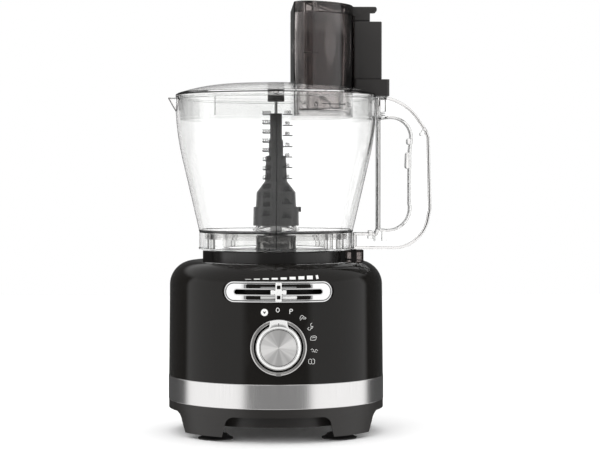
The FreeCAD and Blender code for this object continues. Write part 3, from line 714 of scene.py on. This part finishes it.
def build_slider_front():
    """The framed slot of the speed slider, and the cross that slides along it."""
    middle = SLIDER_HEIGHT
    slot = stadium(42.5, 2.3, y=middle)
    windows = [bar_outline(-31, 31, middle + 3.7, middle + 7.3, [0.6, 0.6, 3, 3]),
               bar_outline(-31, 31, middle - 7.3, middle - 3.7, [3, 3, 0.6, 0.6])]

    def skin(name, outlines, thickness, bevel, radius):
        return wrapped(flat_mesh(name, outlines, thickness, bevel), lambda up: radius)

    rim = skin("slider_rim", [stadium(53, 9.9, y=middle), stadium(51.7, 8.6, y=middle)],
               2.6, 0.6, BASE_RADIUS)
    plate = skin("slider_plate", [stadium(51.1, 8, y=middle), slot] + windows,
                 2.2, 0.4, BASE_RADIUS - 0.1)
    track = skin("slider_track", [stadium(43.8, 3.5, y=middle), slot],
                 2.6, 0.55, BASE_RADIUS + 0.1)
    # The right wing takes a whiter, half-metallic copy of the left wing's steel so that it shows
    # lighter: painted light
    for name, left, right, finish in (("left", -17, -1, "soft_steel"),
                                      ("right", 3.4, 17.5, "bright_steel")):
        wing = bar_mesh("wing_" + name, (left, right), (middle - 7, middle - 4), 0.4, 0.8, 0.2)
        slope = 0.4
        for vertex in wing.vertices:
            vertex.co.z += slope * (vertex.co.y - (middle - 5.5) * MM)
        wrapped(wing, lambda up: BASE_RADIUS - 0.7)
        piece("slider_wing_" + name, wing, finish, "base")
    line = skin("slider_line", [bar_outline(-17, 17, middle + 4.1, middle + 4.8, 0.3)],
                0.8, 0.2, BASE_RADIUS - 0.9)
    piece("slider_frame", [rim, plate, track, line], "control_chrome", "base",
          ("slider_bezel",))
    backing = skin("slider_backing", [stadium(52.4, 9.3, y=middle), slot],
                   0.6, 0.1, BASE_RADIUS - 1.5)
    piece("slider_backing", backing, "gloss_black", "base")

    upright_bar = to_front(bar_mesh("grip_bar", (-2.9, 2.9), (-9, 9), 0.8, 3.2, 0.5),
                           middle, 110.4)
    eyes = [to_front(bar_mesh("grip_eye", (-1.7, 1.7), (low, low + 3.4), 0.4, 0.3, 0.05),
                     middle, 112.05) for low in (3.1, -6.5)]
    blocks = [to_front(bar_mesh("grip_block", (left, left + 3.3), (-2, 2), 0.5, 4.4, 0.5),
                       middle, 111.2) for left in (-7.5, -3.75, 0.05, 4.0)]
    bar = to_front(bar_mesh("grip_core", (-7.2, 7.2), (-1.6, 1.6), 0.4, 3.6, 0.3), middle, 111)
    piece("slider_cross", [upright_bar, bar] + blocks, "bright_steel", "slider",
          ("slider_grip",))
    piece("slider_cross_eyes", eyes, "gloss_black", "slider")


def build_knob():
    """The mode dial: its surround, the steel ring with its pointer, and the spun face."""
    def front_lathe(name, profile):
        return lathe_mesh(name, profile, along_front=KNOB_HEIGHT)

    cup = front_lathe("bezel_cup", [
        (22.7, 101.5), (26.9, 101.5), (26.9, 108.4), (26.6, 108.9), (26.1, 109.1),
        (25.7, 108.9), (25.5, 108.4), (24.9, 107.9), (24.4, 108.0), (24.2, 108.4),
        (23.9, 108.6), (23.5, 108.5), (23.3, 108.0), (23.1, 106), (22.7, 104),
    ])
    lug = to_front(bar_mesh("bezel_lug", (-2.9, 2.9), (-27, -24.6), 0.6, 1.6, 0.4),
                   KNOB_HEIGHT, 108.4)
    piece("knob_surround", [cup, lug], "smoked_chrome", "base",
          ("knob_bezel",))

    ring = front_lathe("knob_ring", [
        (17.5, 102), (21.9, 102), (21.95, 109.6), (21.6, 111.0), (20.8, 112.5),
        (19.7, 113.7), (18.7, 114.35), (18.0, 114.4), (17.6, 114.0), (17.5, 113.0),
    ])
    flank = [(8.3, 25.2)] + arc((8.3, 25.2), (16.6, 12.6), -2.6)
    outline = (list(reversed(flank)) + circle_arc((0, 0), 26.6, 71.8, 108.2, 8)
               + [(-x, y) for x, y in flank] + circle_arc((0, 0), 18.6, 142.8, 37.2, 30))
    pointer = flat_mesh("knob_pointer", [outline], 3.4, 0.6, 4)
    slope, level_to = 0.42, 19.5
    for vertex in pointer.vertices:
        vertex.co.z -= slope * max(vertex.co.length - level_to * MM, 0)
    to_front(pointer, KNOB_HEIGHT, 111.9)
    piece("knob_grip", [ring, pointer], "ring_steel", "selector",
          ("selector_knob",))
    # A dark grey mark near the pointer's top: painted shade standing for a small notch
    mark = to_front(flat_mesh("knob_notch_shade", [rounded([(-0.2, 20.6), (0.2, 20.6), (0.5, 23.4),
                                                     (-0.5, 23.4)], 0.2)], 0.12),
                    KNOB_HEIGHT, 113.5)
    piece("knob_notch_shade", mark, "edge_grey", "selector")

    face = front_lathe("knob_disc_face", [
        (0.01, 112.8), (17.1, 112.8), (17.1, 113.7), (16.9, 114.0), (16.5, 114.15),
        (8, 114.22), (0.01, 114.25),
    ])
    piece("knob_disc_face", face, "knob_face", "selector",
          ("knob_disc",))


def stroke(name, lines, x, y, width=0.38):
    """A small printed symbol of round strokes, ready to be bent round the base."""
    return moved(wire_mesh(name, lines, width, flatten=0.25, smooth=True), x, y)


def build_base_prints():
    """Rising speed bars above the slider, and the dial's marks as plain strokes."""
    ink = 0.16
    marks = []
    bars = (-29, -20.5, -12, -3.5, 5, 13.5, 22, 30.4)
    level = 156.3
    for number, middle in enumerate(bars):
        height = 0.35 + 0.43 * number
        marks.append(bar_mesh("speed_bar", (middle - 2.9, middle + 2.9),
                              (level, level + height), 0.15, ink))
    marks.append(flat_mesh("speed_bar", [rounded(
        [(37, level), (39.4, 156.7), (38.6, 160.2), (36.3, 159.8)], 0.15)], ink))
    knob = KNOB_HEIGHT
    marks.append(flat_mesh("mode_disc", [circle_arc((-13.3, knob + 33.1), 3.4, 0, 345, 23)],
                           ink))
    zero = [(x * 0.75, y) for x, y in circle_arc((0, 0), 2, 0, 360, 12)]
    marks.append(stroke("mode_zero", [zero], -0.7, knob + 35.4, 0.6))
    marks.append(stroke("mode_pulse", [[(-1.2, -2.3), (-1.2, 0), (-1.2, 2.2), (0.6, 2.2),
                                        (1.8, 1.2), (0.6, 0.1), (-1.2, 0.1)]],
                        11.9, knob + 34.0, 0.6))
    symbols = (
        (23.4, 27.9, [[(-3, -1.2), (-2.6, 1.6), (-0.4, 2.4), (0.8, 0.8), (-0.8, -0.4),
                       (-2.0, -1.6), (-2.6, -2.4)], [(0.8, 0.8), (2.6, 0.2), (3.2, -1.0),
                                                     (1.6, -1.2), (0, -1.0)]]),
        (31.0, 19.4, [[(-0.4, -3.4), (0.8, -1.6), (0.2, 1.0), (-0.2, 2.6), (1.6, 3.2)],
                      [(0.8, -0.2), (2.4, 0.6), (2.2, -1.4), (0.6, -2.0)],
                      [(-0.4, -3.4), (-2.6, -3.2), (-3.0, -1.4), (-1.4, -0.8)]]),
        (34.0, 8.3, [[(-3, -2), (-3.2, 0.6), (-2, 2), (2.4, 2.1), (3.2, 0.8), (2.6, -0.4),
                      (2.2, -2), (-3, -2.1), (-3, -1.4)], [(-1.8, 0.2), (0, 0.8), (2, 0.4)]]),
        (34.6, -3.3, [[(-3.4, 0.4), (-2.2, 1.8), (-0.8, 0.8), (-0.6, -1.4), (0.8, -1.8),
                       (1.2, 0.4), (2.4, 1.0), (3.6, -0.6)], [(-2.4, -0.8), (-1.4, -1.6)],
                      [(1.6, -2), (2.8, -1.8)]]),
        (32.0, -13.7, [[(-0.4, -2.4), (-3, -2.2), (-3.2, 0), (-2.8, 2.2), (-0.6, 2.2),
                        (0.2, 1.2), (-0.4, 0), (0.2, -1.4), (-0.4, -2.4)],
                       [(0.8, 2.2), (2.6, 2.2), (3.2, 0.8), (2.8, -0.4), (3.2, -1.8),
                        (1.8, -2.6), (0.6, -2.4)]]),
    )
    for number, (across, up, lines) in enumerate(symbols):
        marks.append(stroke(f"mode_symbol_{number}", lines, across, knob + up))
    for mesh in marks:
        wrapped(mesh, lambda up: housing_radius(up) + OFF_SURFACE, 1.2)
    piece("base_marks", marks, "white_print", "base")
    dot = flat_mesh("mode_dot", [rounded([(-15.2, knob + 34.6), (-13.3, knob + 31.4),
                                          (-11.4, knob + 34.6), (-13.3, knob + 33.4)], 0.3)],
                    ink)
    piece("base_mark_dot", wrapped(dot, lambda up: housing_radius(up) + ink, 1.2),
          "black_print", "base")


# The bowl


def build_bowl_marks():
    """Two volume scales that count down evenly: fl oz on the right and ml on the left."""
    heights = (312.6, 302.3, 292.7, 282.2, 272.4, 262.5, 252.0, 240.1, 227.8, 214.5)
    right = [(height, 100 - 10 * number) for number, height in enumerate(heights)]
    left = [(312.4 - 8.7 * number, 3000 - 250 * number) for number in range(12)]
    marks = []
    for name, scale, line, middle, lift, tall in (
        ("right", right, (4.3, 13.6), 8.6, 2.0, 3.1),
        ("left", left, (-14.8, -7.8), -11.2, 1.9, 3.0),
    ):
        for height, volume in scale:
            marks.append(bar_mesh("mark_" + name, line, (height - 0.5, height + 0.5), 0.1, 0.1))
            marks.append(moved(text_mesh("number_" + name, str(volume), tall), middle,
                               height + lift))
    for mesh in marks:
        wrapped(mesh, lambda up: bowl_radius(up) + OFF_SURFACE, 1.5)
    piece("bowl_marks", marks, "grey_print", "bowl")


def build_bowl_details():
    """A bead under the floor, the moulding seam, the bayonet lugs and the rounded rim; the seam,
    the spout's edges and the floor's edge carry dark lines of painted shade.
    """
    floor_bead = lathe_mesh("floor_bead", [(76.4, 199.4), (76.9, 199.7), (77.05, 200.2),
                                           (76.9, 200.7), (76.6, 201.0)])
    skirt_bead = lathe_mesh("skirt_bead", [
        (76.3, 182.0), (77.1, 182.1), (77.3, 182.8), (77.1, 183.5), (76.3, 183.6)])
    rim_bead = lathe_mesh("rim_bead", [
        (99.8, 330.6), (100.5, 330.9), (100.7, 331.6), (100.5, 332.3), (99.8, 332.5)])
    piece("bowl_details", [floor_bead, skirt_bead, rim_bead], "clear_plastic", "bowl")
    # The seam is drawn as a black line: painted shade for a clear bead that looks dark
    seam_points = [(-1.4, -(bowl_radius(up) + 0.05), up) for up in range(184, 316, 6)]
    piece("bowl_seam_shade_line", wire_mesh("bowl_seam_shade_line", [seam_points], 0.9), "black_print",
          "bowl")
    lugs = []
    for bearing in (-62, 44, 58, 135, 225):
        lug = to_front(bar_mesh("skirt_lug", (-4, 4), (183, 198), 1.2, 4.4, 0.8), 0, 71.4)
        lug.transform(Matrix.Rotation(math.radians(bearing), 4, "Z"))
        lugs.append(lug)
    ring = lathe_mesh("skirt_ring", [(49.5, 183), (52.5, 183), (53, 183.5), (53, 198.1),
                                     (49.5, 198.1)])
    piece("bowl_lugs", lugs + [ring], "clear_plastic", "bowl")
    # Dark smoked wires along the spout's edges: painted shade outlining the clear lip
    spout = [[(-99.6, side * 8.4, 319), (-102.6, side * 8.4, 324), (-106.5, side * 8.4, 331),
              (-106.7, side * 8.4, 331.8), (-99.4, side * 9, 331.8)] for side in (-1, 1)]
    nose = [(-106.7, y, 331.8) for y in (-8.4, 0, 8.4)]
    piece("spout_edges", wire_mesh("spout_edges", spout + [nose], 1.0),
          "edge_smoke", "bowl")
    # A grey ring where the floor meets the wall: a painted shade line at the floor's edge
    line = lathe_mesh("floor_line", [(74.0, 199.5), (76.3, 199.5), (76.3, 201.2),
                                     (74.0, 201.2)])
    piece("bowl_floor_line", line, "edge_grey", "bowl")


def build_hub_sleeve():
    """The bright sleeve of the drive, seen through the bowl's skirt."""
    sleeve = lathe_mesh("hub_sleeve", [
        (19.85, 182), (20.1, 182.2), (20.1, 194.2), (19.3, 195.5), (19.1, 195.5)])
    piece("hub_sleeve", sleeve, "sleeve_steel", "base")


def build_handle():
    """The loop with rounded edges, open down its middle like the moulded channel it is."""
    outer = [(77.5, 181.7), (113, 181.7)] + arc((113, 181.7), (153.4, 214.5), -11) + [
        (155.0, 221), (153.1, 293), (150.2, 301), (144.4, 309.1)]
    outer += arc((144.4, 309.1), (112, 333.3), -4.2) + [
        (100.8, 333.3), (100.8, 309.5), (100.4, 307), (100.4, 202), (99, 198), (77.5, 198)]
    inner = [(104.6, 310.9), (113, 311.8)] + arc((113, 311.8), (134.1, 291), 7.2) + [
        (132.5, 278), (132.4, 227)] + arc((132.4, 227), (108, 201.6), 9.6) + [
        (104.9, 201.6), (103.9, 203), (103.9, 309)]
    outer_wall = flat_mesh("handle_outer_wall", [outer, shrunk(outer, 3.0)], 19.6, 0.9)
    inner_wall = flat_mesh("handle_inner_wall", [shrunk(inner, 2.4), inner], 19.6, 0.9)
    web = flat_mesh("handle_web", [shrunk(outer, 2.0), shrunk(inner, 1.4)], 3.0, 0.3)
    bulges = [
        moved(flat_mesh("handle_bulge", [stadium(length, 1.9)], 15, 0.8), x, z, turn=turn)
        for x, z, length, turn in ((146.8, 298.5, 4.5, 60), (132.8, 289, 3, 90),
                                   (131.4, 270, 8, 88))
    ]
    bulges += [
        bar_mesh("handle_pocket", across, up, 0.6, 17, 0.4)
        for across, up in (((92.4, 96.6), (191.5, 199.8)), ((98.5, 99.8), (189, 199.5)),
                           ((106, 111), (189.5, 199.5)))
    ]
    rod = sum(corner.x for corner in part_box("interlock_rod")) / 2 / MM
    pieces = [drilled(to_front(mesh), 4.2, rod, 311.4, 340)
              for mesh in (outer_wall, inner_wall, web)]
    pieces += [to_front(mesh) for mesh in bulges]
    piece("handle_body", pieces, "clear_plastic", "bowl",
          ("bowl_handle", "handle_cover"))


# The lid, the feed tube and what slides in it


def build_lid_details():
    """The signs printed on the lid's skirt: locked, an arrow, open, and an upright line."""
    def dark_line(name, lines, x, y):
        return moved(wire_mesh(name, lines, 0.8, flatten=0.2), x, y)

    middle = 323.3
    shackle = circle_arc((0, 0.6), 1.1, 0, 180, 8)
    body = [(-1.5, -2.2), (1.5, -2.2), (1.5, 0.6), (-1.5, 0.6), (-1.5, -2.2)]
    marks = [
        dark_line("lock", [shackle, body], 36.7, middle),
        dark_line("lock_arrow", [[(43, 0), (70.6, 0)], [(68.6, 1), (70.6, 0), (68.6, -1)]],
                  0, middle),
        dark_line("open_lock", [[(x - 1.6, y + 0.4) for x, y in shackle], body], 75.7, middle),
        dark_line("lid_line", [[(-64, 312.8), (-64, 331)]], 0, 0),
    ]
    for mesh in marks:
        wrapped(mesh, lambda up: LID_SKIRT_RADIUS + 0.1, 2)
    piece("lid_marks", marks, "grey_print", "lid")


def build_lid_bush():
    """The bearing of the tool's pin: a dark block under the lid and a clear neck above it."""
    block = lathe_mesh("bush_block", [
        (2.1, 328.8), (8.0, 328.8), (8.4, 329.2), (8.4, 334.6), (8.0, 335), (2.1, 335),
    ], fine=False)
    cap = lathe_mesh("bush_cap", [
        (0.01, 341.2), (7.6, 341.2), (7.9, 341.5), (7.9, 342.1), (7.6, 342.4), (0.01, 342.4),
    ], fine=False)
    piece("bush_block", [block, cap], "dark_plastic", "lid", ("lid_bush",))
    neck = lathe_mesh("bush_neck", [
        (2.2, 335.1), (8.3, 335.1), (8.3, 341.1), (2.2, 341.1),
    ], fine=False)
    button = lathe_mesh("bush_button", [
        (0.01, 342.5), (8.3, 342.5), (8.3, 345.9), (9.4, 346.1), (9.4, 346.5), (9.0, 346.9),
        (0.01, 346.9),
    ], fine=False)
    piece("bush_neck", [neck, button], "light_smoke", "lid")


def build_feed_tube():
    """Smoked walls above the lid and nearly clear ones below it."""
    walls = [feed_outline(0), feed_outline(TUBE_WALL)]
    upper = upright("feed_upper", walls, LID_LEVEL, TUBE_TOP, 0.5)
    piece("feed_tube_upper", upper, "smoked_plastic", "lid", ("feed_tube",))
    lower = upright("feed_lower", walls, TUBE_BOTTOM, LID_LEVEL, 0.4)
    piece("feed_tube_lower", lower, "light_smoke", "lid")


def build_pusher(top):
    """The hollow pusher: a head ring, ribbed walls, a guide down its middle and an arm."""
    def part(name, mesh, material, replaces=()):
        piece(name, mesh, material, "pusher", replaces)

    head = upright("head", [feed_outline(0.1), feed_outline(3.05)], TUBE_TOP + 0.5, top - 0.1,
                   0.5)
    bore = 17.9
    outside = bore + 2
    guide = lathe_mesh("pusher_guide", [
        (bore, LID_LEVEL), (outside, LID_LEVEL), (outside, top - 0.7), (outside - 0.4, top - 0.2),
        (bore + 0.4, top - 0.2), (bore, top - 0.7),
    ], SMALL_PUSHER_X, fine=False)
    # The head ring takes a darker smoke than the pusher's walls to dim a bright patch on it:
    # painted shade
    part("pusher_head", head, "dark_smoke", ("pusher",))
    part("pusher_guide", guide, "smoked_plastic")
    inside = 5.1
    walls = [feed_outline(3.1), feed_outline(inside)]
    wall = upright("plug_upper", walls, LID_LEVEL, top - 0.2)
    part("pusher_wall", wall, "smoked_plastic")
    ribs = []
    for x, width in ((22.6, 2.2), (25, 1.8), (27.4, 1.2), (33, 0.8), (39, 1.4), (43, 0.9),
                     (49, 0.8), (54, 1.4), (58, 0.8), (61.5, 1.8), (65, 1.0), (67.5, 1.4)):
        for side in (-1, 1):
            y = side * (feed_front(x, inside) - width / 2 + 0.2)
            ribs.append(wire_mesh("rib", [[(x, y, LID_LEVEL + 1), (x, y, top - 1)]], width))
    part("pusher_ribs", ribs, "dark_smoke")
    floor = 320
    opening = circle_arc((SMALL_PUSHER_X, 0), bore, 0, 355, 72)
    lower = [
        upright("plug_lower", walls, floor, LID_LEVEL),
        upright("plug_floor", [feed_outline(3.1), opening], floor - 1.9, floor, 0.4),
        lathe_mesh("guide_foot", [(bore, floor), (outside, floor), (outside, LID_LEVEL),
                                  (bore, LID_LEVEL)], SMALL_PUSHER_X, fine=False),
    ]
    part("pusher_lower_wall", lower, "light_smoke")
    arm = bar_mesh("pusher_arm", (81.6, 93.3), (353.6, 409), 0.8, 17.6, 0.48)
    bridge_side = [(74.5, 413.5), (77.5, 413.5), (77.5, 408.4), (93.4, 408.4), (93.4, 417.6),
                   (100.2, 417.6), (100.2, 422.9), (74.5, 422.9)]
    corners = [0.3, 0.3, 0.3, 0.5, 1.5, 2.4, 2.4, 0.3]
    bridge = flat_mesh("arm_bridge", [rounded(bridge_side, corners)], 18, 0.8)
    part("pusher_bridge", to_front(bridge), "dark_plastic")
    part("pusher_arm", to_front(arm), "dark_plastic")


def build_small_pusher(top):
    """A sleeve with a closed tip, and a dish for the finger in its top."""
    outside = 17.5
    inside = 15.9
    sleeve = lathe_mesh("small_sleeve", [
        (inside, 344), (outside, 344), (outside, top - 1.8), (outside - 0.3, top - 1.1),
        (inside + 0.3, top - 1.1), (inside, top - 1.7),
    ], SMALL_PUSHER_X, fine=False)
    piece("small_pusher_sleeve", sleeve, "smoked_plastic", "small_pusher",
          ("small_pusher",))
    tip = lathe_mesh("small_tip", [
        (0.01, 322.1), (16.6, 322.1), (outside, 323), (outside, 344), (inside, 344),
        (15.7, 324.4), (0.01, 324),
    ], SMALL_PUSHER_X, fine=False)
    piece("small_pusher_tip", tip, "light_smoke", "small_pusher")
    middle = top - 9
    under, over = 15.6, 14.2
    dish = lathe_mesh("finger_dish", [
        (0.01, middle - under), *circle_arc((0, middle), under, -80, 0, 8),
        *circle_arc((0, middle), over, 0, -80, 8), (0.01, middle - over),
    ], SMALL_PUSHER_X, fine=False)
    piece("small_pusher_dish", dish, "dark_smoke", "small_pusher",
          ("small_pusher_cap",))
    # A black crescent along the dish's rim: painted shade at its edge
    crescent = [(x, 0, z) for x, z in circle_arc((SMALL_PUSHER_X, middle), 15, 180, 360, 18)]
    piece("dish_edge_shade", wire_mesh("dish_edge_shade", [crescent], 1.5), "black_print",
          "small_pusher")


def build_fill_mark():
    """The line printed on the front of the feed tube, and the dots that carry it on."""
    def printed_at(x, height):
        return (x, -feed_front(x, -0.2), height)

    tick = wire_mesh("fill_tick", [[printed_at(x, 373.4) for x in (25, 27, 29, 32)]], 0.9)
    dots = [wire_mesh("fill_dot", [[printed_at(x, low), printed_at(x, low + 1.4)]], 0.5)
            for x, low in ((34, 372.8), (35.6, 372.6), (37.2, 372.8), (38.8, 372.6))]
    piece("feed_tick", [tick] + dots, "black_print", "lid")


def build_interlock_case():
    """The case that the pusher's arm slides into, with its edges rounded."""
    low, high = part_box("interlock_box")
    left, right, deep = low.x / MM, high.x / MM, high.y / MM
    outside = bar_outline(left, right, -deep, deep, 1.8)
    inside = bar_outline(left + 3.8, right - 3.4, 2.6 - deep, deep - 2.6, 0.8)
    low, high = low.z / MM, high.z / MM
    case = upright("interlock_case", [outside, inside], low, high, 0.9)
    piece("interlock_case", case, "dark_plastic", "lid",
          ("interlock_box",))


def helix(name, radius, wire, low, high, turns, x):
    """A coil of wire, upright at x."""
    points = []
    steps = turns * 14
    for step in range(steps + 1):
        angle = TURN * turns * step / steps
        points.append((x + radius * math.cos(angle), radius * math.sin(angle),
                       low + wire / 2 + (high - low - wire) * step / steps))
    return wire_mesh(name, [points], wire)


def build_springs():
    """Coils of wire for the springs that carry the rod and the plunger."""
    for name, node, joint, body, radius, wire, turns in (
        ("rod_coil", "rod_spring", "rod_press", "bowl", 3.0, 0.6, 4),
        ("plunger_coil", "plunger_spring", "plunger_press", "lid", 4.3, 0.6, 3),
    ):
        low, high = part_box(node)
        x = (low.x + high.x) / 2
        coil = piece(name, helix(name, radius, wire, low.z / MM, high.z / MM, turns, x / MM),
                     "drive_steel", body, (node,))
        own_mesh(coil)


# Light, floor and camera


def build_world():
    """White all round for what is looked at or seen through; softboxes for reflections."""
    world = bpy.data.worlds.new("studio")
    bpy.context.scene.world = world
    world.use_nodes = True
    tree = world.node_tree
    nodes, links = tree.nodes, tree.links
    nodes.clear()
    split = nodes.new("ShaderNodeSeparateXYZ")
    links.new(nodes.new("ShaderNodeTexCoord").outputs["Generated"], split.inputs["Vector"])
    across, depth, height = split.outputs

    def number(operation, *values):
        return math_node(tree, operation, *values)

    def soft_step(value, start, end, low, high):
        return map_range(tree, value, start, end, low, high, "SMOOTHSTEP")

    # Softboxes: bright from the front's edge to past the sides, dark in front and behind
    bearing = number("ABSOLUTE", number("ARCTAN2", across, number("MULTIPLY", depth, -1)))
    inner_edge = soft_step(bearing, math.radians(30), math.radians(40), 0.27, 1.15)
    outer_edge = soft_step(bearing, math.radians(106), math.radians(116), 1.0, 0.07)
    level = number("MULTIPLY", inner_edge, outer_edge)
    steep = soft_step(number("ABSOLUTE", height), 0.35, 0.5, 0.0, 1.0)
    paper_or_ceiling = soft_step(height, -0.1, 0.1, 0.9, 0.85)
    reflected = number("ADD", number("MULTIPLY", level, number("SUBTRACT", 1, steep)),
                       number("MULTIPLY", steep, paper_or_ceiling))

    # What clear plastic bends light from: the backdrop, an opening each side and the paper
    backdrop = soft_step(depth, 0.66, 0.96, 0.15, 1.4)
    openings = soft_step(number("ABSOLUTE", across), 0.97, 0.985, 0.0, 1.4)
    paper = soft_step(height, -0.2, -0.1, 1.4, 0.0)
    behind = number("MAXIMUM", backdrop, number("MAXIMUM", openings, paper))

    path = nodes.new("ShaderNodeLightPath")
    is_through = path.outputs["Is Transmission Ray"]
    is_glossy = number("MULTIPLY", path.outputs["Is Glossy Ray"],
                       number("SUBTRACT", 1, is_through))

    def choose(switch, when_off, when_on):
        node = nodes.new("ShaderNodeMix")
        node.data_type = "FLOAT"
        give(tree, (node.inputs[0], *node.inputs[2:4]), (switch, when_off, when_on))
        return node.outputs[0]

    looked_at, lights_surfaces = 1.0, 1.12
    strength = choose(path.outputs["Is Camera Ray"], lights_surfaces, looked_at)
    strength = choose(is_through, strength, behind)
    strength = choose(is_glossy, strength, reflected)
    background = nodes.new("ShaderNodeBackground")
    background.inputs["Color"].default_value = (1, 1, 1, 1)
    links.new(strength, background.inputs["Strength"])
    output = nodes.new("ShaderNodeOutputWorld")
    links.new(background.outputs["Background"], output.inputs["Surface"])


def build_floor():
    """White paper that takes the shadow, and isn't seen in reflections or through the bowl."""
    mesh = bpy.data.meshes.new("floor")
    half = 2.2
    mesh.from_pydata([(-half, -half, 0), (half, -half, 0), (half, half, 0), (-half, half, 0)],
                     [], [(0, 1, 2, 3)])
    floor = in_scene("floor", mesh)
    floor.visible_glossy = False
    floor.visible_transmission = False
    mesh.materials.append(new_material("paper", (0.94, 0.94, 0.94), Roughness=0.9))


def aimed(name, data, place, target):
    """A light or camera that looks at a target."""
    item = in_scene(name, data)
    item.location = place
    item.rotation_euler = (Vector(target) - item.location).to_track_quat("-Z", "Y").to_euler()
    return item


def build_lights():
    """Two soft lamps in metres and watts, kept out of reflections."""
    for name, place, size, power in (
        ("key", (-0.9, -0.9, 1.6), 1.2, 9), ("top", (0.3, 0.3, 2.0), 1.6, 9),
    ):
        light = bpy.data.lights.new(name, "AREA")
        light.size = size
        light.energy = power
        aimed(name, light, place, (0, 0, 0.15)).visible_glossy = False


def build_camera():
    camera = bpy.data.cameras.new("camera")
    camera.sensor_width = 36
    camera.lens = CAMERA_LENS
    camera.clip_end = 100
    bpy.context.scene.camera = aimed("camera", camera, CAMERA_PLACE, CAMERA_TARGET)


def set_render():
    """Plain colours, and enough bounces to see through all the clear walls."""
    scene = bpy.context.scene
    scene.view_settings.view_transform = "Standard"
    scene.cycles.max_bounces = 40
    scene.cycles.transmission_bounces = 40


paint_frame()
build_slider_front()
build_knob()
build_base_prints()
build_bowl_marks()
build_bowl_details()
build_hub_sleeve()
build_handle()
build_lid_bush()
build_lid_details()
build_feed_tube()
pusher_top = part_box("pusher")[1].z / MM
build_pusher(pusher_top)
build_small_pusher(pusher_top)
build_fill_mark()
build_interlock_case()
build_springs()
build_world()
build_floor()
build_lights()
build_camera()
set_render()
